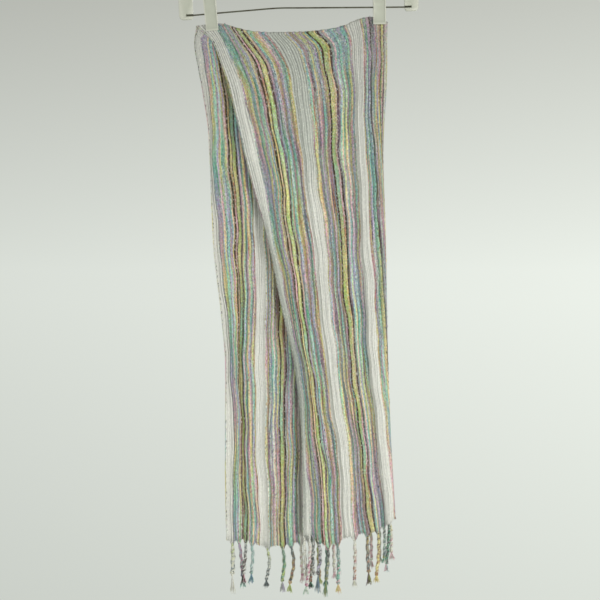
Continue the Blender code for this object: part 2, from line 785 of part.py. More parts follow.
clear_scene()
parts = make_collection("scarf_on_hanger")
cutters = make_collection("cutters")

cloth_material = make_material("woven_cloth", (0.72, 0.72, 0.66), 0.85)
fringe_material = make_material("fringe_cord", (0.45, 0.5, 0.44), 0.9)
plastic_material = make_material("white_plastic", (0.85, 0.86, 0.83), 0.4)
steel_material = make_material("dark_steel", (0.25, 0.24, 0.22), 0.35, 1.0)

make_front_fall()
make_back_fall()
make_fringe("front_fringe", FALLS["front"])
make_fringe("back_fringe", FALLS["back"])

hanger = bpy.data.objects.new("hanger", None)
parts.objects.link(hanger)
hanger.rotation_euler.y = -math.radians(HANGER_TILT)
make_hanger_body()
make_hook()
make_bar()
for clip_side, clip_place in CLIP_PLACES.items():
    make_clip(clip_side, clip_place)
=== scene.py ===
# The looks of a crinkled woven scarf that hangs from the two clips of a hanger.
# The tables are in millimetres, as a maker would measure them, and the meshes in
# metres. The front of the scarf faces -Y, and the hook hangs at the origin.

import math
import random

import bmesh
import bpy
import numpy as np
from mathutils import Matrix, Vector, geometry


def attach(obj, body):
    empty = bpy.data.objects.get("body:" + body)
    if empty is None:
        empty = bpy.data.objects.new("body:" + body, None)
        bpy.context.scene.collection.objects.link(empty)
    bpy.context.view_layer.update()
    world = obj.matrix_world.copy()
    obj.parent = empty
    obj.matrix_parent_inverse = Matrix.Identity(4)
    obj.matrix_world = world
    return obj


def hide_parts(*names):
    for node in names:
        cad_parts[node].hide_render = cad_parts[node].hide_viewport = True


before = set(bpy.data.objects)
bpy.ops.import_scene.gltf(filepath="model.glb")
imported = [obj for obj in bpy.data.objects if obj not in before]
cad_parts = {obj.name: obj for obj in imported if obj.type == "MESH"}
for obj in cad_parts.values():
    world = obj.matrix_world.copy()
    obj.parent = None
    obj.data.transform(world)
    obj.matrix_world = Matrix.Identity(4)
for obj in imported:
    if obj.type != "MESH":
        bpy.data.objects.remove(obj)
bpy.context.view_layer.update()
mm = 0.001


# Numbers and curves

def readTable(heading, *rows):
    # rows of values under a heading, as named columns
    return {name: [row[place] for row in rows] for place, name in enumerate(heading.split())}


def ease(share):
    share = np.clip(share, 0.0, 1.0)
    return share * share * (3.0 - 2.0 * share)


def mix(first, second, share):
    return first + (second - first) * share


def smoothThrough(places, values, at):
    # a curve through the given points that never overshoots them
    places, values = np.asarray(places, float), np.asarray(values, float)
    at = np.clip(at, places[0], places[-1])
    slopes = np.diff(values) / np.diff(places)
    before, after = slopes[:-1], slopes[1:]
    agree = before * after > 0.0
    tangents = np.concatenate(([slopes[0]], np.zeros(len(before)), [slopes[-1]]))
    tangents[1:-1][agree] = (2.0 * before * after)[agree] / (before + after)[agree]
    step = np.clip(np.searchsorted(places, at) - 1, 0, len(slopes) - 1)
    span = places[step + 1] - places[step]
    share = (at - places[step]) / span
    left = share - 1.0
    return ((1.0 + 2.0 * share) * left * left * values[step]
            + share * left * left * span * tangents[step]
            + share * share * (3.0 - 2.0 * share) * values[step + 1]
            + share * share * left * span * tangents[step + 1])


# Colours, as they look on a screen

shades = {
    "white": (0.86, 0.855, 0.83),
    "bright": (0.97, 0.97, 0.93),
    "cream": (0.88, 0.87, 0.78),
    "paleGrey": (0.76, 0.77, 0.74),
    "grey": (0.64, 0.66, 0.63),
    "greyGreen": (0.56, 0.64, 0.57),
    "blueGrey": (0.58, 0.67, 0.72),
    "paleBlue": (0.74, 0.81, 0.81),
    "teal": (0.47, 0.70, 0.64),
    "emerald": (0.26, 0.56, 0.44),
    "mint": (0.62, 0.80, 0.69),
    "lime": (0.68, 0.76, 0.42),
    "yellowGreen": (0.72, 0.75, 0.50),
    "butter": (0.88, 0.83, 0.56),
    "ochre": (0.76, 0.66, 0.38),
    "olive": (0.52, 0.53, 0.33),
    "darkOlive": (0.19, 0.18, 0.08),
    "peach": (0.86, 0.73, 0.59),
    "tan": (0.70, 0.62, 0.50),
    "rust": (0.64, 0.42, 0.30),
    "rose": (0.68, 0.54, 0.50),
    "pink": (0.84, 0.66, 0.70),
    "magenta": (0.70, 0.38, 0.52),
    "mauve": (0.69, 0.60, 0.67),
    "lilac": (0.70, 0.66, 0.76),
    "plum": (0.42, 0.32, 0.40),
    "maroon": (0.25, 0.12, 0.12),
    "brown": (0.29, 0.21, 0.13),
    "charcoal": (0.24, 0.26, 0.26),
    "slate": (0.45, 0.50, 0.51),
    "blue": (0.42, 0.54, 0.64),
}


def displayed(colour):
    # a colour as it looks on a screen, as the linear one that a shader mixes
    return tuple(value ** 2.2 for value in colour) + (1.0,)


def linear(shade):
    return np.array(displayed(shades[shade])[:3])


# How the scarf hangs

scarf = {
    "width": 325.0,
    "foldRadius": 3.6,        # middle of the cloth where it turns over the top
    "clippedRadius": 0.8,     # the same inside a clip
    "hangDepth": 9.0,         # from the middle plane to the middle of a fall
    "spreadDrop": 110.0,      # below the top where a fall has spread to that depth
    "foldDepth": 4.0,
    "foldDrop": 160.0,        # below the top where the big folds are full, and then the crinkles
    "crinkleDrop": 120.0,
    "releaseDrop": 60.0,      # below a clip where the cloth moves freely again
    "turnStep": 2.4,          # half the room inside the turned back edge
    "turnStart": 14.0,        # width of the turned back part once it lies behind
    "turnWidth": 4.0,
    "turnCalm": 20.0,
    "crinkles": 60,           # sides of crinkles across the width
    "crinkleAtTop": 0.35,
    "crinkleBelow": 1.0,
    "finePeriod": 4.4,        # of the small crinkles between the large ones
    "fineDepth": 0.42,
    "wander": 1.1,            # how far the yarns sway sideways on their way down
    "creaseRun": 0.12,        # share of the way down over which a crease comes or goes
    "scallopDepth": 4.5,
    "scallopReach": 8.0,
    "lastPicks": 1.2,         # loose weave below the hem line, where the tassels start
    "wall": 0.6,
    "calmSelvedge": 24.0,     # flatter cloth beside the left selvedge
    "freeEdgeLay": 0.78,
    "columns": 308,
    "frontRows": 80,
    "backRows": 70,
    "ridgeRows": 6,
    "rowPower": 1.15,         # rows lie closer near the top
}

clips = {
    "places": (-130.5, 137.3),  # on the cloth
    "halfWidth": 13.0,
    "fade": 17.0,
    "heldDrop": 14.0,
}

yarns = readTable(
    "flat  frontHem  backHem",
    (0, -1026.3, -1040.7),       # left selvedge
    (25, -1026.3, -1040.7),      # right border of the first white band
    (69, -1045.5, -1037.5),      # first green stripe
    (125, -1031.1, -1050.3),     # second white band
    (181, -1023.1, -1047.1),     # second green stripe
    (237, -1007.1, -1040.7),     # third white band
    (254, -1002.3, -1040.0),     # where the front turns back at the hem
    (325, -1008.7, -1037.5),     # right selvedge
)

# The top edge, which sags between the clips.
ridge = readTable(
    "flat height",
    (0, -218.3), (12, -216.2), (25, -214.2), (40, -214.9), (69, -221.2), (97, -227.2),
    (125, -228.2), (160, -227.6), (181, -226.2), (205, -222.6), (222, -217.0),
    (237, -210.2), (254, -205.8), (275, -203.8), (300, -206.5), (325, -212.2),
)

# Level is the share of the way down, and the yarns' columns are their X there.
frontRows = readTable(
    "level left bandA greenOne bandB greenTwo bandC turn tuck turnFlat turnLay tuckLay",
    (0.00, -157, -126, -91, -26, 29, 96, 150, 150, 325, 1.00, 1.00),
    (0.03, -131, -112, -73, -6, 51, 102, 149, 149, 325, 1.00, 1.00),
    (0.07, -118, -98, -52, 6, 57, 103, 149, 149, 325, 0.95, 0.95),
    (0.13, -103, -80, -38, 15, 64, 104, 148, 148, 325, 0.85, 0.80),
    (0.20, -89, -66, -28, 20, 65, 106, 145, 143, 320, 0.75, 0.70),
    (0.30, -70, -49, -14, 30, 72, 109, 143, 139, 313, 0.65, 0.50),
    (0.42, -42, -31, -3, 42, 80, 114, 146, 133, 301, 0.60, 0.25),
    (0.55, -21, -11, 12, 52, 87, 120, 148, 126, 288, 0.60, 0.15),
    (0.68, 2, 10, 27, 63, 97, 126, 150, 117, 276, 0.55, 0.12),
    (0.82, 12, 20, 42, 78, 110.5, 138, 154, 113, 264, 0.55, 0.10),
    (1.00, 13, 28, 53, 88, 125, 152, 162, 117, 254, 0.55, 0.10),
)
backRows = readTable(
    "level left bandA greenOne bandB greenTwo bandC right",
    (0.00, -157, -126, -91, -26, 29, 96, 150),
    (0.03, -160, -148, -115, -51, 6, 83, 149),
    (0.07, -155, -142, -112, -61, -6, 69, 144),
    (0.13, -146, -137, -106, -64, -14, 54, 134),
    (0.20, -138, -132, -100, -62, -18, 42, 122),
    (0.30, -134, -128, -94, -58, -20, 30, 102),
    (0.42, -130, -119, -87, -53, -21, 24, 86),
    (0.55, -118, -108, -86, -52, -18, 19, 75),
    (0.68, -110, -100, -85, -53, -18, 16, 69),
    (0.82, -111, -96, -82, -51, -18, 14, 66),
    (1.00, -109, -98, -79, -45, -17, 16, 67),
)
yarnColumns = ("left", "bandA", "greenOne", "bandB", "greenTwo", "bandC")

# How far each yarn stands out in the big folds, as a share of the fold depth.
frontFolds = readTable(
    "flat outward",
    (0, -0.3), (12, 1.0), (36, -0.9), (64, 0.75), (96, -0.8), (125, 1.0), (156, -1.0),
    (192, 0.85), (214, -0.6), (238, 1.0), (262, -0.2), (290, 0.4), (310, -0.3), (325, 0.0),
)
backFolds = readTable(
    "flat outward",
    (0, 0.2), (12, 0.8), (40, -0.9), (68, 0.9), (92, -0.7), (124, 1.0), (152, -0.6),
    (178, 0.8), (205, -0.8), (236, 0.9), (265, -0.8), (295, 0.8), (325, -0.2),
)

# Creases that come and go: from one level to another, how deep (a minus stands out)
# and how wide.
frontCreases = readTable(
    "flat  start  stop  depth  width",
    (30, 0.10, 0.62, 1.1, 4.0),
    (46, 0.30, 0.95, -0.9, 5.0),
    (62, 0.02, 0.50, 1.3, 3.0),
    (74, 0.25, 1.00, 1.2, 3.5),
    (90, 0.05, 0.35, -0.8, 6.0),
    (108, 0.40, 0.85, 1.0, 4.0),
    (118, 0.55, 1.00, -0.7, 4.5),
    (140, 0.08, 0.55, 1.2, 3.5),
    (160, 0.30, 0.90, -0.9, 6.0),
    (172, 0.02, 0.45, 1.1, 3.0),
    (187, 0.35, 1.00, 1.4, 3.5),
    (208, 0.10, 0.70, -0.8, 5.0),
    (222, 0.45, 1.00, 1.0, 4.0),
)
backCreases = readTable(
    "flat  start  stop  depth  width",
    (22, 0.15, 0.70, 1.1, 4.0),
    (33, 0.45, 1.00, -0.9, 5.0),
    (62, 0.10, 0.60, 1.2, 3.5),
    (78, 0.35, 1.00, 1.2, 4.0),
    (100, 0.05, 0.50, -0.8, 6.0),
    (150, 0.15, 0.55, 2.4, 4.0),
    (168, 0.35, 1.00, -1.0, 5.0),
    (181, 0.28, 0.62, 2.4, 5.0),
    (214, 0.30, 0.95, 1.2, 4.5),
    (246, 0.10, 0.75, -0.9, 5.0),
    (272, 0.40, 1.00, 1.1, 4.0),
    (303, 0.15, 0.80, 1.0, 4.0),
)

# The tassels: where each starts, how far down its tip and its knot are, how it bows,
# leans and swings out, its thickness, the dyes of its three plies at the top and low
# down, and those of its knot and its two kinds of loose ends.
frontTassels = readTable(
    "root drop knot bow lean swing thick top low ends",
    (4, 68, 50, 0, 4, 1, 4.4, "white cream white", "cream white white", "white white cream"),
    (20, 94, 74, 2, -6, 5, 4.8, "white cream white", "pink magenta white", "pink white mint"),
    (33, 64, 46, -1, -2, 0, 4.6, "maroon white slate", "charcoal white slate", "charcoal charcoal white"),
    (46, 84, 47, 3, -1, 4, 5.0, "lilac charcoal white", "slate charcoal lilac", "plum blue slate"),
    (73, 80, 46, 1, -5, 2, 4.8, "charcoal slate charcoal", "charcoal olive slate", "olive olive emerald"),
    (98, 80, 58, 1, 1, 5, 5.2, "slate teal slate", "emerald pink teal", "teal peach butter"),
    (137, 80, 62, 1, 0, 2, 4.8, "white white cream", "pink rust white", "lilac white cream"),
    (167, 82, 54, -1, 2, 4, 5.2, "charcoal slate ochre", "charcoal rust slate", "olive olive plum"),
    (197, 82, 64, 2, -3, 3, 4.8, "ochre darkOlive butter", "ochre rust butter", "ochre butter ochre"),
    (219, 58, 44, 1, 0, 5, 4.6, "emerald white charcoal", "white emerald slate", "ochre emerald white"),
    (235, 78, 58, 1, -4, 0, 4.8, "darkOlive charcoal emerald", "charcoal charcoal emerald",
     "charcoal paleBlue pink"),
    (278, 64, 46, 1, 3, 0, 4.4, "yellowGreen butter cream", "pink cream white", "pink white pink"),
    (300, 66, 50, 0, 1, -1, 4.4, "yellowGreen cream mint", "pink white cream", "rose white mint"),
    (318, 72, 54, 1, 2, -1, 4.4, "butter yellowGreen cream", "pink white pink", "cream pink white"),
)
backTassels = readTable(
    "root drop knot bow lean swing thick top low ends",
    (19, 86, 45, 1, 0, 1, 6.0, "white lime cream", "white cream slate", "white white cream"),
    (46, 76, 50, 1, 7, 5, 4.6, "plum magenta lilac", "magenta plum slate", "blue teal teal"),
    (71, 72, 48, 1, -4, 0, 4.4, "charcoal white slate", "charcoal white maroon", "maroon maroon pink"),
    (89, 68, 44, 2, -1, 4, 4.6, "paleBlue paleBlue teal", "teal slate paleBlue", "teal blue teal"),
    (132, 64, 46, 4, -2, 2, 4.6, "yellowGreen lime white", "white charcoal slate", "slate charcoal slate"),
    (178, 76, 50, 3, 0, 4, 5.0, "emerald charcoal greyGreen", "charcoal lime emerald", "slate lilac grey"),
    (201, 76, 56, 5, -2, 1, 4.8, "charcoal charcoal slate", "rust ochre charcoal", "rust lime yellowGreen"),
    (226, 64, 48, 0, 3, 4, 4.4, "white cream white", "white pink cream", "magenta white pink"),
    (250, 76, 58, 1, 2, 1, 4.6, "white olive cream", "olive rust brown", "rust emerald maroon"),
    (276, 70, 52, -1, 2, 4, 4.6, "olive butter lime", "ochre rust butter", "ochre lime ochre"),
    (300, 74, 56, 1, -1, 1, 4.6, "charcoal emerald slate", "slate teal emerald", "teal emerald slate"),
    (319, 62, 46, 0, 2, 4, 4.4, "white cream pink", "pink white cream", "pink white pink"),
)

falls = {
    "front": {"side": -1.0, "rows": frontRows, "hem": yarns["frontHem"], "folds": frontFolds,
              "creases": frontCreases, "tassels": frontTassels},
    "back": {"side": 1.0, "rows": backRows, "hem": yarns["backHem"], "folds": backFolds,
             "creases": backCreases, "tassels": backTassels},
}


def ridgeHeight(flat):
    return smoothThrough(ridge["flat"], ridge["height"], flat)


def hemHeight(fall, flat):
    # the tassels pull the hem down into scallops
    dip = sum(np.exp(-((flat - root) / scarf["scallopReach"]) ** 2) for root in fall["tassels"]["root"])
    return smoothThrough(yarns["flat"], fall["hem"], flat) - scarf["scallopDepth"] * np.minimum(dip, 1.0)


def fallLength(fall, flat):
    return ridgeHeight(flat) - scarf["foldRadius"] - hemHeight(fall, flat)


def turnPlace(rows, level):
    if "turn" not in rows:
        return scarf["width"]
    return float(smoothThrough(rows["level"], rows["turnFlat"], level))


def turnedShare(rows, level):
    return float(ease((scarf["width"] - turnPlace(rows, level)) / scarf["turnStart"]))


def acrossFall(rows, flat, level):
    # X and share of the hanging depth of the yarns at one level
    def column(name):
        return float(smoothThrough(rows["level"], rows[name], level))

    flats = list(yarns["flat"][:6])
    places = [column(name) for name in yarnColumns]
    lays = [scarf["freeEdgeLay"]] + [1.0] * 5
    turns = "turn" in rows
    edge = column("turn" if turns else "right")
    edgeLay = column("turnLay") if turns else scarf["freeEdgeLay"]
    freeFlats = flats + [scarf["width"]]
    across = smoothThrough(freeFlats, places + [edge], flat)
    lay = smoothThrough(freeFlats, lays + [edgeLay], flat)
    turned = turnedShare(rows, level)
    if turned > 0.0:
        flats += [turnPlace(rows, level), scarf["width"]]
        across = mix(across, smoothThrough(flats, places + [edge, column("tuck")], flat), turned)
        lay = mix(lay, smoothThrough(flats, lays + [edgeLay, column("tuckLay")], flat), turned)
    return across, lay


def heldShare(fall, flats):
    # 1 for a yarn inside a clip, and 0 well away from it
    held = np.zeros_like(flats)
    for drop in (0.0, 0.5 * clips["heldDrop"], clips["heldDrop"]):
        for number, flat in enumerate(flats):
            across, _ = acrossFall(fall["rows"], flat, drop / fallLength(fall, flat))
            nearest = min(abs(across - place) for place in clips["places"])
            share = 1.0 - ease((nearest - clips["halfWidth"]) / clips["fade"])
            held[number] = max(held[number], share)
    return held


def crinkleStrengths():
    # every second column stands out and the others lie in, unevenly
    chance = random.Random(7)
    return [(1 if column % 2 else -1) * chance.uniform(0.25, 1.5)
            for column in range(scarf["crinkles"] + 1)]


def unevenPlaces():
    # wide and narrow crinkles in no order
    chance = np.random.default_rng(3)
    steps = chance.uniform(0.45, 1.7, scarf["crinkles"])
    return np.concatenate(([0.0], np.cumsum(steps))) * scarf["width"] / steps.sum()


crinklePlaces = unevenPlaces()
crinkleDepths = np.array(crinkleStrengths())


def fineCrinkles(flat, drop):
    # small uneven pleats that drift a little on their way down
    drift = 2.2 * np.sin(drop / 71.0 + flat / 23.0) + 1.3 * np.sin(drop / 33.0 + flat / 9.0)
    strength = 0.55 + 0.45 * np.sin(flat / 11.0 + drop / 94.0)
    return scarf["fineDepth"] * strength * np.sin(2.0 * np.pi * (flat + drift) / scarf["finePeriod"])


def creaseDepth(fall, flat, level):
    creases = fall["creases"]
    depth = np.zeros_like(flat)
    for number, place in enumerate(creases["flat"]):
        start, stop = creases["start"][number], creases["stop"][number]
        run = ease((level - start) / scarf["creaseRun"])
        if stop < 1.0:
            run = run * ease((stop - level) / scarf["creaseRun"])
        centre = place + 2.0 * math.sin(9.0 * level + place)
        depth -= creases["depth"][number] * run * np.exp(-((flat - centre) / creases["width"][number]) ** 2)
    return depth


def fallLine(fall, flats, level, held):
    # one row of points across a fall, at a share of the way down
    rows = fall["rows"]
    length = fallLength(fall, flats)
    drop = level * length
    across, lay = acrossFall(rows, flats, level)
    radius = mix(scarf["foldRadius"], scarf["clippedRadius"], held)
    settled = ease((drop - clips["heldDrop"] * held) / scarf["spreadDrop"])
    depth = mix(radius, scarf["hangDepth"] * lay, settled)

    beyond = flats - turnPlace(rows, level)
    turned = turnedShare(rows, level)
    behind = turned * ease(0.5 * beyond / scarf["turnWidth"] + 0.5)
    nearTurn = np.exp(-(beyond / scarf["turnCalm"]) ** 2)
    calm = (1.0 - np.maximum(0.5 * behind, 0.9 * nearTurn)) * ease(0.25 + flats / scarf["calmSelvedge"])
    loose = 1.0 - held * (1.0 - ease((drop - clips["heldDrop"]) / scarf["releaseDrop"]))
    wave = smoothThrough(fall["folds"]["flat"], fall["folds"]["outward"], flats)
    depth += scarf["foldDepth"] * wave * ease(drop / scarf["foldDrop"]) * (1.0 - 0.7 * behind)
    backStep = turned * np.tanh(beyond / scarf["turnWidth"]) * np.maximum(behind, nearTurn)
    depth -= scarf["turnStep"] * backStep
    crinkle = smoothThrough(crinklePlaces, crinkleDepths, flats)
    growth = ease(drop / scarf["crinkleDrop"])
    crinkle *= mix(scarf["crinkleAtTop"], scarf["crinkleBelow"], growth)
    depth += (crinkle + (0.3 + 0.7 * growth) * fineCrinkles(flats, drop)) * calm * loose
    depth += creaseDepth(fall, flats, level) * calm * loose

    sway = np.sin(drop / 27.0 + flats / 37.0 + 2.0 * fall["side"])
    sway = (sway + 0.5 * np.sin(drop / 11.5 - flats / 29.0)) * calm * loose * ease(drop / 60.0)
    across = across + scarf["wander"] * sway * (1.0 - turned * (beyond > -30.0))
    top = ridgeHeight(flats) - radius
    height = top - drop * (top - hemHeight(fall, flats)) / length
    height -= scarf["lastPicks"] * ease((level - 0.97) / 0.03)
    return np.stack((across, fall["side"] * depth, height), axis=-1)


def ridgeLine(start, end, turned):
    # the fold over the top, from the front at 0 to the back at 1
    angle = math.pi * turned
    radius = np.abs(mix(start[:, 1], -end[:, 1], turned))
    centre = mix(start[:, 2], end[:, 2], turned)
    across = mix(start[:, 0], end[:, 0], turned)
    return np.stack((across, -radius * math.cos(angle), centre + radius * math.sin(angle)), axis=-1)


flatPlaces = np.linspace(0.0, scarf["width"], scarf["columns"] + 1)
for fall in falls.values():
    fall["held"] = heldShare(fall, flatPlaces)


def drapedScarf():
    # rows of points from the front hem over the top to the back hem, and how far
    # along the cut from the fold each row lies
    front, back = falls["front"], falls["back"]
    frontLevels, backLevels = (np.linspace(0.0, 1.0, scarf[rows] + 1) ** scarf["rowPower"]
                               for rows in ("frontRows", "backRows"))
    lines, along = [], []
    for level in frontLevels[::-1]:
        lines.append(fallLine(front, flatPlaces, level, front["held"]))
        along.append(-level * fallLength(front, flatPlaces) - 0.5 * math.pi * scarf["foldRadius"])
    start = lines[-1]
    end = fallLine(back, flatPlaces, 0.0, back["held"])
    for step in range(1, scarf["ridgeRows"]):
        turned = step / scarf["ridgeRows"]
        lines.append(ridgeLine(start, end, turned))
        along.append(np.full(len(flatPlaces), (turned - 0.5) * math.pi * scarf["foldRadius"]))
    for level in backLevels:
        lines.append(fallLine(back, flatPlaces, level, back["held"]))
        along.append(level * fallLength(back, flatPlaces) + 0.5 * math.pi * scarf["foldRadius"])
    return np.array(lines) * mm, np.array(along)


scarfPoints, scarfAlong = drapedScarf()
print("scarf draped:", scarfPoints.shape)


# The warp. Each yarn is dyed in a cycle of colours. A stripe starts at some yarn, is at
# some place of its cycle at the fold, and takes so many millimetres for each colour.

warp = {
    "swayAtFold": 0.35,         # of the sideways shift of the yarns
    "swayFull": 450.0,          # down from the fold where the shift is full
    "calmEdge": 24.0,
    "jitter": 0.18,             # of a yarn's place in its cycle, in dyes
    "light": (0.90, 1.10),      # from yarn to yarn
    "drift": 6.0,               # mm by which the dyes of a stripe move up and down
    "change": 0.65,             # share of a dye's length over which it turns into the next
    "gatheredShade": 0.26,      # painted shade: the cloth is darker where it is bunched at the top
    "gatheredReach": 170.0,     # from the fold to where that fades
    # painted light: the colours of the back fall are made paler
    "backPaintedLight": 0.07,
}
stripeWaves = readTable(
    "size along across",
    (0.8, 18.0, 19.0), (0.7, 10.5, -8.0), (0.5, 47.0, 37.0),
)
dyeCycles = {
    "white": ("white",),
    # painted shade: the first white band turns grey part way down the front, and the second is pale grey
    # near the fold on both falls
    "firstBand": ("white",) * 4 + ("paleGrey",) * 2 + ("grey",) + ("paleGrey",) * 2 + ("white",) * 10,
    "secondBand": ("paleGrey",) * 3 + ("white",) * 12 + ("paleGrey",),
    "rainbow": ("yellowGreen", "butter", "peach", "pink", "mauve", "lilac", "blueGrey", "teal", "mint"),
    "warm": ("peach", "tan", "rose", "pink", "rust", "butter", "ochre"),
    "cool": ("paleBlue", "mint", "teal", "blueGrey", "lilac", "grey", "emerald", "mint"),
    "green": ("lime", "yellowGreen", "butter", "lime", "mint", "yellowGreen", "butter"),
    "pale": ("cream", "white", "butter", "paleBlue", "cream", "pink", "paleGrey"),
    "smoke": ("grey", "slate", "mauve", "greyGreen", "blueGrey", "tan", "mauve", "plum", "paleGrey"),
    "dark": ("darkOlive", "brown", "darkOlive", "brown"),
    "wine": ("maroon", "brown", "plum", "maroon", "darkOlive"),
}
stripes = readTable(
    "start yarn place length", (0, "pale", 0.2, 60), (3, "firstBand", 0, 92), (22, "smoke", 2.6, 33),
    (25.5, "rainbow", 6.0, 30), (31, "rainbow", 5.4, 31), (35, "cool", 4.6, 38), (38, "rainbow", 2.6, 34),
    (42, "rainbow", 7.4, 36), (46, "cool", 3.2, 40), (49.5, "rainbow", 4.0, 37),
    (52.5, "rainbow", 7.9, 30), (56, "warm", 0.0, 45), (58.3, "dark", 0.0, 120), (61.8, "warm", 2.2, 52),
    (65.3, "dark", 2.6, 60), (67.3, "green", 0.3, 46), (74.4, "wine", 0.2, 110), (78, "rainbow", 1.2, 42),
    (81.2, "rainbow", 2.2, 32), (84, "cool", 0.6, 33), (88, "rainbow", 8.2, 30), (91, "warm", 4.8, 44),
    (94, "rainbow", 1.6, 36), (99, "smoke", 1.4, 36), (102.8, "rainbow", 6.2, 35),
    (106.5, "warm", 3.2, 56), (109.5, "secondBand", 0, 92), (136, "pale", 1.5, 50),
    (139, "rainbow", 5.4, 49), (142.2, "warm", 1.4, 54), (145, "smoke", 5.0, 42), (149, "smoke", 1.6, 34),
    (152.5, "rainbow", 8.8, 52), (156, "pale", 1.9, 44), (160, "rainbow", 3.4, 37),
    (163, "smoke", 0.2, 40), (166, "warm", 4.9, 44), (169.3, "rainbow", 6.8, 33),
    (171.6, "dark", 0.6, 120), (175.2, "green", 0.0, 62), (182, "warm", 5.2, 58),
    (185.3, "wine", 0.6, 105), (189.1, "smoke", 2.2, 33), (193, "rainbow", 2.4, 35),
    (196.4, "rainbow", 5.6, 34), (199.5, "cool", 2.3, 42), (202, "rainbow", 6.2, 49),
    (206.8, "smoke", 3.3, 44), (210.5, "rainbow", 4.9, 41), (214.8, "rainbow", 6.4, 29),
    (219.4, "smoke", 1.0, 58), (221.6, "rainbow", 1.9, 38), (224, "white", 0, 90),
    (248.6, "warm", 2.0, 50), (251.5, "rainbow", 0.6, 36), (254.2, "smoke", 0.6, 54),
    (258, "cool", 5.2, 50), (262, "rainbow", 3.8, 90), (266, "rainbow", 3.4, 75), (270, "dark", 1.4, 46),
    (273, "smoke", 6.4, 38), (277.5, "smoke", 0.6, 44), (282, "rainbow", 3.6, 38), (286, "warm", 2.2, 44),
    (290, "smoke", 2.0, 36), (294, "rainbow", 1.6, 40), (298, "warm", 1.2, 42), (302, "dark", 1.2, 110),
    (305.5, "green", 2.0, 80), (308.5, "rainbow", 0.8, 70), (312.6, "wine", 1.3, 110),
    (316.5, "pale", 5.0, 46), (321, "pale", 0.8, 60),
)


def stripeSway(flats, down):
    # the crinkled cloth shifts its yarns sideways, less near the fold and beside the selvedges
    waves = zip(stripeWaves["size"], stripeWaves["along"], stripeWaves["across"])
    shift = sum(size * np.sin(down / along + flats / across) for size, along, across in waves)
    shift = shift * mix(warp["swayAtFold"], 1.0, ease(np.abs(down) / warp["swayFull"]))
    return shift * ease((np.minimum(flats, scarf["width"] - flats) - 1.0) / warp["calmEdge"])


def stripeAt(flats, down):
    places = flats[:, None] + stripeSway(flats[:, None], down[None, :])
    return np.searchsorted(stripes["start"], places, side="right") - 1


def stripeColours(flats, down, ahead, seed):
    # the dyed colour of each yarn at its place down the front, or so many dyes ahead, with painted shade
    # near the fold and painted light on the back fall
    chance = np.random.default_rng(seed)
    jitter = chance.uniform(-warp["jitter"], warp["jitter"], len(flats)) + ahead
    light = chance.uniform(*warp["light"], len(flats))
    numbers = stripeAt(flats, down)
    colours = np.zeros(numbers.shape + (3,))
    for number in np.unique(numbers):
        column, row = np.nonzero(numbers == number)
        dyes = np.array([linear(name) for name in dyeCycles[stripes["yarn"][number]]])
        uneven = down[row] + warp["drift"] * np.sin(down[row] / 43.0 + 1.7 * number)
        turn = uneven / stripes["length"][number] + stripes["place"][number] + jitter[column]
        place = np.floor(turn).astype(int)
        share = ease((turn - place - 1.0) / warp["change"] + 1.0)[:, None]
        dyed = mix(dyes[place % len(dyes)], dyes[(place + 1) % len(dyes)], share)
        colours[column, row] = dyed * light[column][:, None]
    # painted shade near the fold, and painted light that makes the back fall paler
    paintedFoldShade = 1.0 - warp["gatheredShade"] * np.exp(-np.abs(down) / warp["gatheredReach"])
    paler = 1.0 + warp["backPaintedLight"] * (down < 0.0)
    return colours * (paintedFoldShade * paler)[None, :, None]


def whiteShare(flats, down):
    bands = ("white", "firstBand", "secondBand")
    return np.array([float(yarn in bands) for yarn in stripes["yarn"]])[stripeAt(flats, down)]


# Nodes, for materials and for Geometry Nodes alike

class Field:
    # one output of a node, so that sums in a tree are written as sums
    def __init__(self, socket):
        self.socket = socket
        self.tree = socket.id_data

    def __add__(self, other):
        return calc("ADD", self, other)

    def __sub__(self, other):
        return calc("SUBTRACT", self, other)

    def __rsub__(self, other):
        return calc("SUBTRACT", other, self)

    def __mul__(self, other):
        return calc("MULTIPLY", self, other)

    def __truediv__(self, other):
        return calc("DIVIDE", self, other)


def out(node, name=0):
    return Field(node.outputs[name])


def treeOf(*values):
    return next(value.tree for value in values if isinstance(value, Field))


def plug(socket, value):
    # a link when the value comes from another node, and a plain setting otherwise
    if isinstance(value, bpy.types.Node):
        value = out(value)
    if isinstance(value, Field):
        value.tree.links.new(value.socket, socket)
    else:
        socket.default_value = value


def feed(node, values):
    for name, value in values.items():
        plug(next(s for s in node.inputs if s.enabled and name in (s.name, s.identifier)), value)


def addNode(tree, kind, feeds=None, **settings):
    node = tree.nodes.new(kind)
    for name, value in settings.items():
        setattr(node, name, value)
    feed(node, feeds or {})
    return node


def geo(tree, kind, feeds=None, **settings):
    return addNode(tree, "GeometryNode" + kind, feeds, **settings)


def calc(operation, *values):
    node = addNode(treeOf(*values), "ShaderNodeMath", operation=operation)
    for socket, value in zip(node.inputs, values):
        plug(socket, value)
    return out(node)


def vectorCalc(operation, *values):
    node = addNode(treeOf(*values), "ShaderNodeVectorMath", operation=operation)
    for socket, value in zip(node.inputs, values):
        plug(socket, value)
    return out(node, "Value" if operation == "LENGTH" else "Vector")


def scaled(vector, factor):
    node = addNode(vector.tree, "ShaderNodeVectorMath", operation="SCALE")
    plug(node.inputs[0], vector)
    plug(node.inputs["Scale"], factor)
    return out(node)


def joined(x, y, z=0.0):
    return out(addNode(treeOf(x, y, z), "ShaderNodeCombineXYZ", {"X": x, "Y": y, "Z": z}))


def axesOf(vector):
    node = addNode(vector.tree, "ShaderNodeSeparateXYZ", {"Vector": vector})
    return [out(node, axis) for axis in "XYZ"]


def blend(factor, first, second, how="MIX"):
    node = addNode(treeOf(factor, first, second), "ShaderNodeMix", data_type="RGBA", blend_type=how)
    for number, value in ((0, factor), (6, first), (7, second)):
        plug(node.inputs[number], value)
    return out(node, 2)


def dimmed(colour, light):
    return blend(1.0, colour, joined(light, light, light), "MULTIPLY")


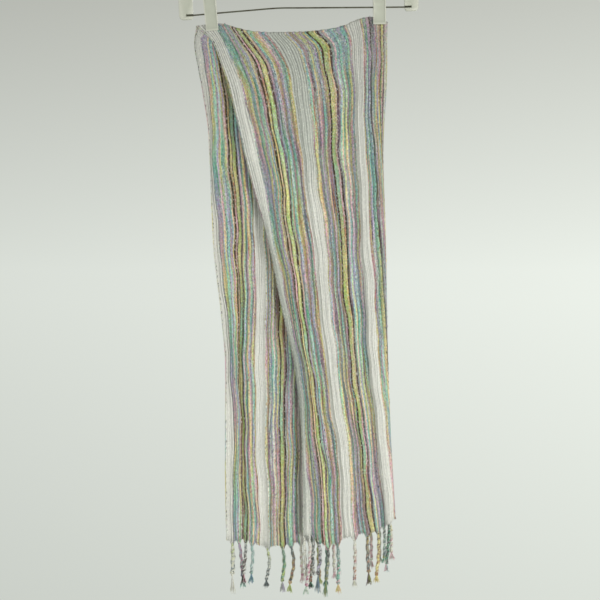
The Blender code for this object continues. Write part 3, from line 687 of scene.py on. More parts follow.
def spread(value, low, high, toLow=0.0, toHigh=1.0):
    # the value from one range to another, clamped at both ends
    return out(addNode(value.tree, "ShaderNodeMapRange", {
        "Value": value, "From Min": low, "From Max": high, "To Min": toLow, "To Max": toHigh}, clamp=True))


def noise(vector, scale=1.0, detail=2.0, roughness=0.5, output=0):
    return out(addNode(vector.tree, "ShaderNodeTexNoise", {
        "Vector": vector, "Scale": scale, "Detail": detail, "Roughness": roughness}), output)


def chanceAt(*places):
    # an even random number for each whole place, in one direction or two
    feeds = {"W": places[0]} if len(places) == 1 else {"Vector": joined(*places)}
    return out(addNode(places[0].tree, "ShaderNodeTexWhiteNoise", feeds,
                       noise_dimensions=f"{len(places)}D"), "Value")


def newMaterial(name):
    material = bpy.data.materials.new(name)
    material.use_nodes = True
    tree = material.node_tree
    return material, tree, tree.nodes["Principled BSDF"]


def attribute(tree, name, output="Color"):
    return out(addNode(tree, "ShaderNodeAttribute", attribute_name=name), output)


def placeOn(tree, space="Object"):
    return out(addNode(tree, "ShaderNodeTexCoord"), space)


def bump(height, distance, strength):
    return out(addNode(height.tree, "ShaderNodeBump", {
        "Height": height, "Distance": distance, "Strength": strength}))


# Meshes

def addObject(name, data):
    added = bpy.data.objects.new(name, data)
    bpy.context.scene.collection.objects.link(added)
    return added


def store(mesh, label, values):
    # a number or a colour on each point of the mesh
    if values.ndim == 1:
        mesh.attributes.new(label, "FLOAT", "POINT").data.foreach_set("value", values.astype(np.float32))
    else:
        rgba = np.concatenate((values, np.ones((len(values), 1))), axis=1)
        layer = mesh.attributes.new(label, "FLOAT_COLOR", "POINT")
        layer.data.foreach_set("color", rgba.reshape(-1).astype(np.float32))


def gridMesh(name, points):
    # quads through rows of points, faces towards the front of the first row
    rows, columns = points.shape[:2]
    mesh = bpy.data.meshes.new(name)
    index = np.arange(rows * columns).reshape(rows, columns)
    faces = np.stack((index[:-1, :-1], index[:-1, 1:], index[1:, 1:], index[1:, :-1]), axis=-1)
    mesh.from_pydata(points.reshape(-1, 3).tolist(), [], faces.reshape(-1, 4).tolist())
    return mesh


# The cloth

weave = {
    "yarn": 1.3,                      # mm from one warp yarn to the next
    "pick": 1.6,                      # mm from one weft yarn to the next
    "rib": 4.1,                       # mm between the lines of a white band
    "dyeLength": 7.0,                 # mm over which a yarn changes between its two nearest dyes
    "dyeAhead": 0.6,                  # how many dyes ahead the second of them is
    "nextDyeMost": 0.75,
    "tints": (5.13, 420.0, 0.8),      # fine speckle of other tones: per yarn, per metre, and its share
    "mottle": (0.74, 1.23),           # light of the thin and the thick places
    "yarnLight": (0.85, 1.13),        # of the darkest and the palest yarn
    "fleck": 3.4,                     # mm of one dark or light fleck
    "darkFlecks": (0.17, 0.10, 0.58),     # how many, how dark in a white band and elsewhere
    "lightFlecks": (0.82, 0.55),      # the chance from which a place has one, and how light it is
    "weftGrain": (60.0, 600.0),       # turns a metre across and along
    "weftPatches": (28.0, 16.0),
    "weftShows": (0.26, 0.66),        # in the closest and the loosest patches
    "ribDrift": (90.0, 3.0),          # turns a metre across and along
    "ribPatches": (200.0, 22.0),
    "foldReach": (0.05, 0.30),        # metres from the fold between its straight lines and uneven ones
    "ribShadow": (0.62, 0.34),        # painted shade in the rib hollows, at the fold and well below it
    "valleys": (0.62, 1.10),          # painted shade of the valleys and painted light of the ridges of the crinkles
    "valleyPower": (1.1, 0.15),       # its strength on dyed and on white yarn
    "evenWhite": 0.6,                 # how much calmer the light of the white yarn is
    "weftShade": (0.62, 0.64, 0.61),
    "darkShade": (0.045, 0.05, 0.045, 1.0),     # of the flecks
    "lightShade": (0.78, 0.80, 0.74, 1.0),
    "yarnDepth": 0.0007,              # metres that the yarns stand out in the light
    "light": 1.12,                    # of all the dyes under the studio light
    "roughness": 0.82,
    "sheen": 0.30,
    "relief": (5, 20, 0.4),           # columns to each side, for small and large forms, and their share in the painted shade and light
    "dyeSeed": 5,
}


def clothMaterial():
    material, tree, shader = newMaterial("crinkledWeave")
    u, v, _ = axesOf(out(addNode(tree, "ShaderNodeUVMap", uv_map="cut")))    # metres across and along
    white = attribute(tree, "whiteBand", "Fac")
    coloured = 1.0 - white

    def onCut(perMetreAcross, perMetreAlong):
        return joined(u * perMetreAcross, v * perMetreAlong)

    yarnTurn = u / (weave["yarn"] * mm)
    pickTurn = v / (weave["pick"] * mm)
    yarnNumber = calc("FLOOR", yarnTurn)
    perYarn = chanceAt(yarnNumber)
    yarnLight = spread(perYarn, 0.0, 1.0, *weave["yarnLight"])

    # each yarn changes between two dyes, in short lengths of its own; both dye attributes also carry
    # painted shade near the fold and painted light on the back fall
    change = noise(joined(yarnNumber * 7.31, v / (weave["dyeLength"] * mm)), 1.0, 2.0, 0.55)
    spun = blend(spread(change, 0.44, 0.60, 0.0, weave["nextDyeMost"]),
                 attribute(tree, "dye"), attribute(tree, "nextDyeAndShade"))
    perTurn, perMetre, tintShare = weave["tints"]
    tints = noise(joined(yarnNumber * perTurn, v * perMetre), output="Color")
    spun = blend(coloured * tintShare, spun, tints, "OVERLAY")

    # thick and thin places, and the dark and light flecks of knopped yarn
    mottle = noise(joined(yarnNumber * 3.77, v * 310.0), 1.0, 3.0, 0.6)
    mottle = spread(mottle, 0.32, 0.68, *weave["mottle"])
    fleckPlace = v / (weave["fleck"] * mm) + perYarn
    fleckValue = chanceAt(yarnNumber, calc("FLOOR", fleckPlace))
    fromMiddle = [1.0 - calc("PINGPONG", turn, 0.5) * 2.0 for turn in (yarnTurn, fleckPlace)]
    fleckSoft = spread(vectorCalc("LENGTH", joined(*fromMiddle)), 1.05, 0.35)
    share, onWhite, onDye = weave["darkFlecks"]
    darkFleck = calc("LESS_THAN", fleckValue, share) * fleckSoft
    darkFleck = darkFleck * spread(coloured, 0.0, 1.0, onWhite, onDye)
    least, strength = weave["lightFlecks"]
    lightFleck = calc("GREATER_THAN", fleckValue, least) * fleckSoft * strength

    # weft yarns show through as short grey streaks across, least where the dye is deep
    weftMost = spread(noise(onCut(*weave["weftPatches"])), 0.42, 0.62, *weave["weftShows"])
    weftShow = noise(onCut(*weave["weftGrain"]), 1.0, 2.0, 0.65)
    weftShow = spread(weftShow, 0.44, 0.68, 0.15, 1.0) * weftMost
    depthOfDye = out(addNode(tree, "ShaderNodeSeparateColor", {"Color": spun}), "Green")
    weftShow = weftShow * spread(white, 0.0, 1.0, 1.0, 0.30) * spread(depthOfDye, 0.05, 0.20, 0.20, 1.0)

    # the lines of the white bands, straight at the fold and uneven below, with painted shade in their
    # hollows that is deeper where the cloth is bunched at the fold
    fromFold = calc("ABSOLUTE", v)
    lineDrift = noise(onCut(*weave["ribDrift"]), 1.0, 1.0)
    lineDrift = lineDrift * spread(fromFold, *weave["foldReach"], 0.8, 2.0)
    ribTurn = calc("SINE", (u / (weave["rib"] * mm) + lineDrift) * (2.0 * math.pi))
    ribFade = calc("MAXIMUM", spread(noise(onCut(*weave["ribPatches"])), 0.35, 0.65, 0.35, 1.0),
                   spread(fromFold, *weave["foldReach"], 0.75, 0.0))
    bunched = spread(fromFold, 0.06, 0.30, *weave["ribShadow"])
    ribHollowShade = spread(ribTurn, -0.2, 1.0) * (ribFade * bunched) * white

    # painted shade in the valleys between the crinkles, and painted light on their ridges
    side = calc("GREATER_THAN", axesOf(placeOn(tree, "Normal"))[1], 0.0) * 2.0 - 1.0
    shadow = spread(attribute(tree, "relief", "Fac") * side, -1.6, 1.2, *weave["valleys"])
    shadow = calc("POWER", shadow, spread(white, 0.0, 1.0, *weave["valleyPower"]))

    light = yarnLight * mottle * weave["light"]
    light = (mix(light, weave["light"], white * weave["evenWhite"]) - ribHollowShade) * shadow
    colour = blend(weftShow, spun, displayed(weave["weftShade"]))
    colour = blend(darkFleck, colour, weave["darkShade"])
    colour = blend(lightFleck, colour, weave["lightShade"])
    height = (calc("PINGPONG", yarnTurn, 0.5) + calc("PINGPONG", pickTurn, 0.5) * 0.6
              + mottle * 0.6 + ribTurn * (white * -0.5))
    feed(shader, {
        "Base Color": dimmed(colour, light), "Normal": bump(height, weave["yarnDepth"], 0.8),
        "Roughness": weave["roughness"], "Sheen Weight": weave["sheen"], "Sheen Roughness": 0.5,
        "Specular IOR Level": 0.3})
    return material


def localRelief(depths, reach):
    # how far each point lies behind the mean of its neighbours across the cloth
    padded = np.pad(depths, ((0, 0), (reach, reach)), mode="edge")
    total = sum(padded[:, step:step + depths.shape[1]] for step in range(2 * reach + 1))
    return np.clip(depths - total / (2 * reach + 1), -2.0, 2.0)


def makeCloth():
    mesh = gridMesh("scarfCloth", scarfPoints)
    down = -scarfAlong.mean(axis=1)
    # the dye attributes hold the dyes with painted shade near the fold and painted light on the back fall
    for label, ahead in (("dye", 0.0), ("nextDyeAndShade", weave["dyeAhead"])):
        colours = stripeColours(flatPlaces, down, ahead, weave["dyeSeed"])
        store(mesh, label, colours.transpose(1, 0, 2).reshape(-1, 3))
    store(mesh, "whiteBand", whiteShare(flatPlaces, down).T.reshape(-1))
    # how far each point lies behind its neighbours, from which the material paints shade in the hollows and
    # light on the ridges
    depths = scarfPoints[:, :, 1] / mm
    near, far, farShare = weave["relief"]
    inFront = (down > 0.0)[:, None]
    relief = localRelief(depths, near) + farShare * inFront * localRelief(depths, far)
    store(mesh, "relief", relief.reshape(-1))
    corner = np.zeros(len(mesh.loops), dtype=np.int32)
    mesh.loops.foreach_get("vertex_index", corner)
    across = flatPlaces + stripeSway(flatPlaces[None, :], down[:, None])
    flatUv = np.stack((across, scarfAlong), axis=-1).reshape(-1, 2) * mm
    mesh.uv_layers.new(name="cut").data.foreach_set("uv", flatUv[corner].reshape(-1).astype(np.float32))
    mesh.materials.append(clothMaterial())
    mesh.shade_smooth()
    cloth = addObject("scarfCloth", mesh)
    wall = cloth.modifiers.new("wall", "SOLIDIFY")
    wall.thickness = scarf["wall"] * mm
    wall.offset = 0.0
    return cloth


cloth = makeCloth()
print("cloth:", len(cloth.data.polygons), "faces before its wall")


# Geometry Nodes for what follows a yarn or a cord

def newTree(name, inputs):
    # a tree with a path going in, named inputs for its sizes, and a mesh coming out
    tree = bpy.data.node_groups.new(name, "GeometryNodeTree")
    tree.interface.new_socket("Path", in_out="INPUT", socket_type="NodeSocketGeometry")
    for label, value in inputs.items():
        kind = "Int" if isinstance(value, int) else "Float"
        socket = tree.interface.new_socket(label, in_out="INPUT", socket_type="NodeSocket" + kind)
        socket.default_value = value
    tree.interface.new_socket("Mesh", in_out="OUTPUT", socket_type="NodeSocketGeometry")
    given = tree.nodes.new("NodeGroupInput")
    sizes = {label: out(given, label) for label in ("Path", *inputs)}
    return tree, sizes, tree.nodes.new("NodeGroupOutput")


def finishTree(output, mesh, material):
    tree = output.id_data
    smooth = geo(tree, "SetShadeSmooth", {"Geometry": mesh})
    real = geo(tree, "RealizeInstances", {"Geometry": smooth})
    plug(output.inputs[0], geo(tree, "SetMaterial", {"Geometry": real, "Material": material}))
    return tree


def named(tree, name, kind="FLOAT"):
    return out(geo(tree, "InputNamedAttribute", {"Name": name}, data_type=kind), "Attribute")


def randomValue(low, high, seed, identity=None):
    feeds = {"Min": low, "Max": high, "Seed": seed}
    if identity is not None:
        feeds["ID"] = identity
    return out(addNode(seed.tree, "FunctionNodeRandomValue", feeds, data_type="FLOAT"), "Value")


def choose(test, otherwise, chosen):
    feeds = {"Switch": test, "False": otherwise, "True": chosen}
    return out(geo(test.tree, "Switch", feeds, input_type="RGBA"))


def storeTint(geometry, tint):
    return geo(tint.tree, "StoreNamedAttribute", {"Geometry": geometry, "Name": "tint", "Value": tint},
               data_type="FLOAT_COLOR", domain="POINT")


def tubeAlong(curve, sides, scale):
    ring = geo(scale.tree, "CurvePrimitiveCircle", {"Resolution": sides, "Radius": 1.0})
    return geo(scale.tree, "CurveToMesh", {
        "Curve": curve, "Profile Curve": ring, "Scale": scale, "Fill Caps": True})


def pathMesh(name, paths, **facts):
    # loose edges through each path, with the given facts stored on their points
    mesh = bpy.data.meshes.new(name)
    starts = np.cumsum([0] + [len(path) for path in paths])
    edges = [(start + step, start + step + 1)
             for start, path in zip(starts, paths) for step in range(len(path) - 1)]
    mesh.from_pydata(np.concatenate(paths).tolist(), edges, [])
    for label, values in facts.items():
        store(mesh, label, np.concatenate(values))
    return mesh


def grow(name, mesh, tree, **sizes):
    # runs the tree on the mesh, and keeps the result as a plain mesh
    holder = addObject(name, mesh)
    modifier = holder.modifiers.new("grow", "NODES")
    modifier.node_group = tree
    for socket in tree.interface.items_tree:
        if socket.in_out == "INPUT" and socket.name in sizes:
            modifier[socket.identifier] = sizes[socket.name]
    depsgraph = bpy.context.evaluated_depsgraph_get()
    grown = bpy.data.meshes.new_from_object(holder.evaluated_get(depsgraph), depsgraph=depsgraph)
    grown.name = name
    holder.modifiers.remove(modifier)
    holder.data = grown
    print(name + ":", len(grown.polygons), "faces")
    return holder


def yarnPath(flat, lift):
    # a line of points that follows one yarn, just off the middle of the cloth
    down = -scarfAlong.mean(axis=1)
    rows = np.arange(len(down))
    column = (flat - stripeSway(flat, down)) / scarf["width"] * scarf["columns"]
    column = np.clip(column, 1.0, scarf["columns"] - 1.001)
    whole = column.astype(int)
    points = mix(scarfPoints[rows, whole], scarfPoints[rows, whole + 1], (column - whole)[:, None])
    acrossLine = scarfPoints[rows, whole + 1] - scarfPoints[rows, whole - 1]
    outward = np.cross(acrossLine, np.gradient(points, axis=0))
    outward /= np.linalg.norm(outward, axis=1)[:, None]
    return (points + outward * lift * mm)[1:-1]


# Thick spots of darker yarn, and strips of lurex, along chosen yarns

spunFibre = {
    "light": (0.68, 1.25),              # of the darkest and the palest fibre
    "speckSize": 620.0,                 # the higher, the finer
    "paleSpeck": (0.66, 0.68, 0.62, 1.0),
    "darkSpeck": (0.03, 0.032, 0.03, 1.0),
    "sheen": 0.4,
}


def yarnMaterial(name, roughness, metallic=0.0, grain=1100.0, depth=0.0002, speckle=0.0):
    # spun fibre in the colour that its points carry, with paler and darker specks
    material, tree, shader = newMaterial(name)
    place = placeOn(tree)
    fibre = noise(place, grain, 3.0, 0.6)
    colour = dimmed(attribute(tree, "tint"), spread(fibre, 0.3, 0.7, *spunFibre["light"]))
    specks = noise(place, spunFibre["speckSize"], 2.0, 0.6)
    colour = blend(spread(specks, 0.50, 0.66, 0.0, speckle), colour, spunFibre["paleSpeck"])
    colour = blend(spread(specks, 0.34, 0.50, speckle, 0.0), colour, spunFibre["darkSpeck"])
    feed(shader, {"Base Color": colour, "Roughness": roughness, "Metallic": metallic,
                  "Sheen Weight": 0.0 if metallic else spunFibre["sheen"],
                  "Normal": bump(fibre, depth, 0.8)})
    return material


def spotTree(name, material, form):
    # small forms set along each path at uneven distances
    tree, sizes, output = newTree(name, {
        "Spacing": 0.010, "Share": 0.7, "Width": 0.0011, "Length": 0.0018, "Shift": 0.003, "Seed": 1})
    seed, width = sizes["Seed"], sizes["Width"]
    curve = geo(tree, "MeshToCurve", {"Mesh": sizes["Path"]})
    points = geo(tree, "CurveToPoints", {"Curve": curve, "Length": sizes["Spacing"]}, mode="LENGTH")
    spare = calc("GREATER_THAN", randomValue(0.0, 1.0, seed), sizes["Share"])
    kept = geo(tree, "DeleteGeometry", {"Geometry": points, "Selection": spare}, domain="POINT")
    slide = randomValue(-1.0, 1.0, seed + 1.0) * sizes["Shift"]
    moved = geo(tree, "SetPosition", {"Geometry": kept, "Offset": scaled(out(points, "Tangent"), slide)})
    turn = out(points, "Rotation")
    if form == "knop":
        shape = geo(tree, "MeshUVSphere", {"Segments": 6, "Rings": 4, "Radius": 0.5})
    else:
        ball = geo(tree, "MeshUVSphere", {"Segments": 5, "Rings": 3, "Radius": 0.5})
        shape = geo(tree, "Transform", {"Geometry": ball, "Scale": (1.0, 0.3, 1.0)})
        tilt = addNode(tree, "FunctionNodeAxisAngleToRotation", {
            "Axis": (0.0, 0.0, 1.0), "Angle": randomValue(-0.9, 0.9, seed + 2.0)})
        turn = addNode(tree, "FunctionNodeRotateRotation", {"Rotation": turn, "Rotate By": tilt},
                       rotation_space="LOCAL")
    slender = sizes["Length"] * randomValue(0.6, 1.4, seed + 6.0)
    size = scaled(joined(width, width, slender), randomValue(0.55, 1.45, seed + 3.0))
    placed = geo(tree, "InstanceOnPoints", {
        "Points": moved, "Instance": shape, "Rotation": turn, "Scale": size})
    return finishTree(output, placed, material)


knops = {
    "lines": readTable(
        "flat shade",
        (3, "charcoal"), (25, "slate"), (43.5, "plum"), (56, "rose"), (87, "charcoal"), (91, "magenta"),
        (106, "plum"), (137, "ochre"), (155, "slate"), (160, "plum"), (171, "magenta"), (189, "plum"),
        (216, "charcoal"), (224, "rose"), (250, "magenta"), (268, "charcoal"), (275, "slate"),
        (282, "plum"), (304, "rose"), (309, "charcoal"),
    ),
    "Spacing": 0.0085,
    "Share": 0.62,
    "Width": 0.0011,
    "Length": 0.0030,
    "lift": 0.22,       # mm from the middle of the cloth
}
lurex = {
    "lines": readTable(
        "flat shade",
        (7, "bright"), (12, "cream"), (18, "bright"), (24, "cream"), (60, "bright"), (68, "butter"),
        (76, "bright"), (106, "cream"), (113, "bright"), (118, "cream"), (124, "bright"),
        (130, "cream"), (136, "bright"), (163, "bright"), (173, "bright"), (181, "butter"),
        (187, "bright"), (198, "bright"), (226, "bright"), (231, "cream"), (238, "bright"),
        (245, "cream"), (262, "bright"), (292, "butter"), (312, "bright"), (319, "cream"),
    ),
    "Spacing": 0.010,
    "Share": 0.66,
    "Width": 0.0010,
    "Length": 0.0027,
    "lift": 0.5,
}


def evenTint(tint, count):
    return np.tile(tint, (count, 1))


def spotsAlongYarns(name, facts, tree):
    paths, tints = [], []
    for side in (1.0, -1.0):
        for flat, shade in zip(facts["lines"]["flat"], facts["lines"]["shade"]):
            path = yarnPath(flat, side * facts["lift"])
            paths.append(path)
            tints.append(evenTint(linear(shade), len(path)))
    sizes = {label: value for label, value in facts.items() if label not in ("lines", "lift")}
    return grow(name, pathMesh(name, paths, tint=tints), tree, **sizes)


knopYarn = yarnMaterial("knopYarn", 0.9, grain=900.0, speckle=0.4)
lurexFoil = yarnMaterial("lurexFoil", 0.30, metallic=1.0, grain=300.0, depth=0.0001)
yarnKnops = spotsAlongYarns("yarnKnops", knops, spotTree("knopsOnYarns", knopYarn, "knop"))
lurexGlints = spotsAlongYarns("lurexGlints", lurex, spotTree("glintsOnYarns", lurexFoil, "glint"))


# The fringe

fringe = {
    "stripDrop": 1.8,       # of the roots below the hem line
    "pitch": 7.5,           # mm of one turn of the plies
    "gatherHalf": 10.0,     # cloth on each side that one tassel gathers
    "gatherDrop": 3.2,      # mm below the hem where the nearest threads meet
    "threadStep": 1.35,
    "lumps": 0.34,          # uneven thickness of the spun plies
    "firstNumber": {-1.0: 0, 1.0: 40},      # of the tassels of the front and of the back
    "looseStrands": 36,
    "looseSpread": 5.4,
    "looseThick": 0.55,
    "fibres": 110,          # that curl out of one cord
    "fibreThick": 0.065,
    "fibreAside": (-1.8, 1.8),      # mm that a fibre turns aside, and that its tip goes up or down
    "fibreFall": (-3.8, 0.8),
    "fibreReach": (0.25, 0.8),      # out of the cord, as a share of its thickness
    "fuller": 1.12,         # cords as thick as their loose fibres make them look
    "cordTop": 0.50,        # how thick a cord starts, as a share of its full thickness
    "cordWave": (31.0, 0.7),    # how quickly a cord wavers on its way down, and mm aside
    "cordPoints": 26,
    "knotPoints": 37,
    "endPoints": 7,
    "threadPoints": 8,
    "fibrePoints": 5,
}


def tasselsOf(fall):
    # each tassel's row of the table, with the point that it hangs from
    tassels = []
    for values in zip(*fall["tassels"].values()):
        tassel = dict(zip(fall["tassels"], values), side=fall["side"])
        tassel["rootPoint"] = fallLine(fall, np.array([float(tassel["root"])]), 1.0, np.zeros(1))[0]
        tassel["rootPoint"][2] += scarf["lastPicks"] - fringe["stripDrop"]
        tassels.append(tassel)
    return tassels


def hangPoint(tassel, share):
    # the middle of a tassel at a share of its drop
    root, side = tassel["rootPoint"], tassel["side"]
    restDepth = min(abs(root[1]), scarf["hangDepth"]) * side
    bow = tassel["bow"] * math.sin(math.pi * min(share * tassel["drop"] / tassel["knot"], 1.0))
    swing = side * tassel["swing"] * float(ease(2.5 * share))
    return np.array((root[0] + bow + tassel["lean"] * share,
                     mix(root[1], restDepth, float(ease(2.0 * share))) + swing,
                     root[2] - tassel["drop"] * share))


def twistTree(name, material):
    # plies wound round each path, each in its own tint
    tree, sizes, output = newTree(name, {
        "Plies": 2, "Pitch": 0.009, "Apart": 0.5, "Ply": 0.55, "Step": 0.0014, "Sides": 7, "Lumps": 0.0,
        "Mingled": 0.0})
    curve = geo(tree, "MeshToCurve", {"Mesh": sizes["Path"]})
    even = geo(tree, "ResampleCurve", {"Curve": curve, "Length": sizes["Step"]}, mode="LENGTH")
    plies = geo(tree, "DuplicateElements", {"Geometry": even, "Amount": sizes["Plies"]}, domain="SPLINE")
    ply = out(plies, "Duplicate Index")
    turns = ply / sizes["Plies"] + out(geo(tree, "SplineParameter"), "Length") / sizes["Pitch"]
    angle = (turns + named(tree, "start")) * (2.0 * math.pi)
    normal = out(geo(tree, "InputNormal"), "Normal")
    other = vectorCalc("CROSS_PRODUCT", out(geo(tree, "InputTangent")), normal)
    ring = vectorCalc("ADD", scaled(normal, calc("COSINE", angle)), scaled(other, calc("SINE", angle)))
    girth = named(tree, "girth")
    wound = geo(tree, "SetPosition", {"Geometry": plies, "Offset": scaled(ring, girth * sizes["Apart"])})
    position = out(geo(tree, "InputPosition"))
    strays = spread(noise(position, 210.0), 0.35, 0.65, 0.0, 2.2) * sizes["Mingled"]
    dyeNumber = calc("MODULO", ply + strays, 3.0)
    tint = named(tree, "tintOne", "FLOAT_COLOR")
    for number, label in ((0.5, "tintTwo"), (1.5, "tintThree")):
        tint = choose(calc("GREATER_THAN", dyeNumber, number), tint, named(tree, label, "FLOAT_COLOR"))
    lumpy = spread(noise(position, 560.0), 0.3, 0.7, -1.0, 1.0) * sizes["Lumps"] + 1.0
    tube = tubeAlong(storeTint(wound, tint), sizes["Sides"], girth * sizes["Ply"] * lumpy)
    return finishTree(output, tube, material)


def looseTree(name, material):
    # loose ends that spread from each path, each with its own curl and length
    tree, sizes, output = newTree(name, {
        "Strands": 12, "Spread": 0.004, "Curl": 0.0016, "Thick": 0.00032, "Steps": 12, "Seed": 3})
    curve = geo(tree, "MeshToCurve", {"Mesh": sizes["Path"]})
    even = geo(tree, "ResampleCurve", {"Curve": curve, "Count": sizes["Steps"]}, mode="COUNT")
    many = geo(tree, "DuplicateElements", {"Geometry": even, "Amount": sizes["Strands"]}, domain="SPLINE")
    # the numbers of two tassels lie further apart than the strands of one
    identity = out(many, "Duplicate Index") + named(tree, "number") * 64.0
    factor = out(geo(tree, "SplineParameter"), "Factor")
    seeds = [sizes["Seed"] + float(step) for step in range(5)]
    aside = joined(*(randomValue(low, high, seed, identity)
                     for low, high, seed in zip((-1.0, -1.0, -0.1), (1.0, 1.0, 0.9), seeds)))
    opened = calc("POWER", factor, 1.3) * sizes["Spread"]
    swayAt = vectorCalc("ADD", scaled(out(geo(tree, "InputPosition")), 160.0), joined(identity * 1.7, 0.0))
    sway = vectorCalc("SUBTRACT", noise(swayAt, 1.0, 1.0, output=1), (0.5, 0.5, 0.5))
    curl = scaled(sway, factor * sizes["Curl"] * 4.0)
    moved = geo(tree, "SetPosition", {
        "Geometry": many, "Offset": vectorCalc("ADD", scaled(aside, opened), curl)})
    tint = choose(calc("GREATER_THAN", randomValue(0.0, 1.0, seeds[3], identity), 0.5),
                  named(tree, "tintOne", "FLOAT_COLOR"), named(tree, "tintTwo", "FLOAT_COLOR"))
    cutAt = randomValue(0.72, 1.0, seeds[4])
    trimmed = geo(tree, "TrimCurve", {"Curve": storeTint(moved, tint), "End": cutAt}, mode="FACTOR")
    tube = tubeAlong(trimmed, 4, sizes["Thick"] * spread(factor, 0.0, 1.0, 1.0, 0.5))
    return finishTree(output, tube, material)


def strand(path, girth, start=0.0, **tints):
    # one path in metres, with its thickness and where its plies start to turn
    count = len(path)
    return {"path": path, "girth": np.zeros(count) + girth, "start": np.full(count, float(start)), **tints}


def tintAlong(top, low, shares):
    return mix(linear(top)[None, :], linear(low)[None, :], ease(shares)[:, None])


def knotPath(centre, radius, turn):
    # one overhand knot, pulled tight
    angles = np.linspace(0.0, 2.0 * np.pi, fringe["knotPoints"])
    x = (np.sin(angles) + 2.0 * np.sin(2.0 * angles)) / 3.0
    y = (np.cos(angles) - 2.0 * np.cos(2.0 * angles)) / 3.0
    z = -np.sin(3.0 * angles) * 0.8
    return centre + radius * np.stack((x * math.cos(turn) - z * math.sin(turn),
                                       z * math.cos(turn) + x * math.sin(turn), y), axis=-1)


def fringePaths():
    cords, knots, ends = [], [], []
    labels = ("tintOne", "tintTwo", "tintThree")
    quick, aside = fringe["cordWave"]
    for fall in falls.values():
        for number, tassel in enumerate(tasselsOf(fall)):
            thick, root = tassel["thick"], tassel["root"]
            tops, lows = tassel["top"].split(), tassel["low"].split()
            knotDye, tuftOne, tuftTwo = tassel["ends"].split()
            knotShare = tassel["knot"] / tassel["drop"]
            shares = np.linspace(0.0, knotShare, fringe["cordPoints"])
            points = np.array([hangPoint(tassel, share) for share in shares])
            points[:, 0] += np.sin(shares * quick + root) * aside * ease(shares * 4.0)
            down = shares / knotShare
            girth = 0.5 * fringe["fuller"] * thick * mix(fringe["cordTop"], 1.0, ease(down * 5.0))
            dyes = {label: tintAlong(top, low, down * 1.3) for label, top, low in zip(labels, tops, lows)}
            cords.append(strand(points * mm, girth * mm, 0.13 * root, **dyes))
            size = 0.6 * thick / tassel["drop"]
            knot = knotPath(hangPoint(tassel, knotShare + size), 0.44 * thick, root)
            winding = 0.5 - 0.5 * np.cos(np.linspace(0.0, 6.0 * np.pi, len(knot)))
            knots.append(strand(knot * mm, 0.5 * thick * mm, tintOne=tintAlong(knotDye, lows[1], winding)))
            lower = np.linspace(knotShare + 0.6 * size, 1.0, fringe["endPoints"])
            order = float(number + fringe["firstNumber"][fall["side"]])
            tufts = {label: evenTint(linear(dye), len(lower))
                     for label, dye in zip(labels, (tuftOne, tuftTwo))}
            ends.append({
                "path": np.array([hangPoint(tassel, share) for share in lower]) * mm,
                "number": np.full(len(lower), order), **tufts})
    return cords, knots, ends


def fuzzPaths(cords):
    # short fibres that curl out of each cord
    chance = np.random.default_rng(23)
    steps = np.linspace(0.0, 1.0, fringe["fibrePoints"])[:, None]
    fibres = []
    for cord in cords:
        for _ in range(fringe["fibres"]):
            at = chance.integers(1, len(cord["path"]) - 1)
            angle = chance.uniform(0.0, 2.0 * np.pi)
            outward = np.array((math.cos(angle), math.sin(angle), 0.0))
            aside = np.array((-outward[1], outward[0], 0.0)) * chance.uniform(*fringe["fibreAside"]) * mm
            fall = np.array((0.0, 0.0, chance.uniform(*fringe["fibreFall"]))) * mm
            reach = cord["girth"][at] * (0.75 + chance.uniform(*fringe["fibreReach"]) * steps ** 0.6)
            tint = cord[chance.choice(("tintOne", "tintTwo", "tintThree"))][at]
            path = cord["path"][at] + outward * reach + aside * steps ** 2 + fall * steps ** 1.5
            fibres.append(strand(path, fringe["fibreThick"] * mm, tintOne=evenTint(tint, len(path))))
    return fibres


def threadPaths():
    # warp ends that leave the weave and gather into the nearest tassel
    threads = []
    chance = np.random.default_rng(11)
    middleOfCut = 160.0
    for fall in falls.values():
        tassels = tasselsOf(fall)
        flats = np.arange(1.0, scarf["width"], fringe["threadStep"])
        hem = fallLine(fall, flats, 1.0, np.zeros_like(flats))
        down = np.array([-fall["side"] * float(fallLength(fall, middleOfCut))])
        # the yarn colours there carry the painted light of the back fall too
        tints = stripeColours(flats, down, 0.0, weave["dyeSeed"])[:, 0]
        for flat, start, tint in zip(flats, hem, tints):
            nearest = min(tassels, key=lambda tassel: abs(tassel["root"] - flat))
            away = abs(nearest["root"] - flat)
            start = start + np.array((0.0, 0.0, scarf["lastPicks"] * 0.6))
            if away > fringe["gatherHalf"]:
                stop = start + np.array((chance.uniform(-1.0, 1.0), chance.uniform(-0.5, 0.5),
                                         -chance.uniform(1.4, 3.6)))
                middle = mix(start, stop, 0.5)
            else:
                share = min((fringe["gatherDrop"] + 0.42 * away) / nearest["drop"], 0.4)
                stop = hangPoint(nearest, share) + chance.uniform(-0.5, 0.5, 3)
                middle = mix(start, stop, 0.5) - np.array((0.0, 0.0, 0.08 * away))
            corners = (start, mix(start, middle, 0.7), mix(middle, stop, 0.3), stop)
            bend = np.array(geometry.interpolate_bezier(
                *(Vector(corner) for corner in corners), fringe["threadPoints"]))
            threads.append(strand(bend * mm, 0.45 * mm, tintOne=evenTint(tint, len(bend))))
    return threads


def growStrands(name, parts, tree, **sizes):
    facts = {label: [part[label] for part in parts] for label in parts[0] if label != "path"}
    return grow(name, pathMesh(name, [part["path"] for part in parts], **facts), tree, **sizes)


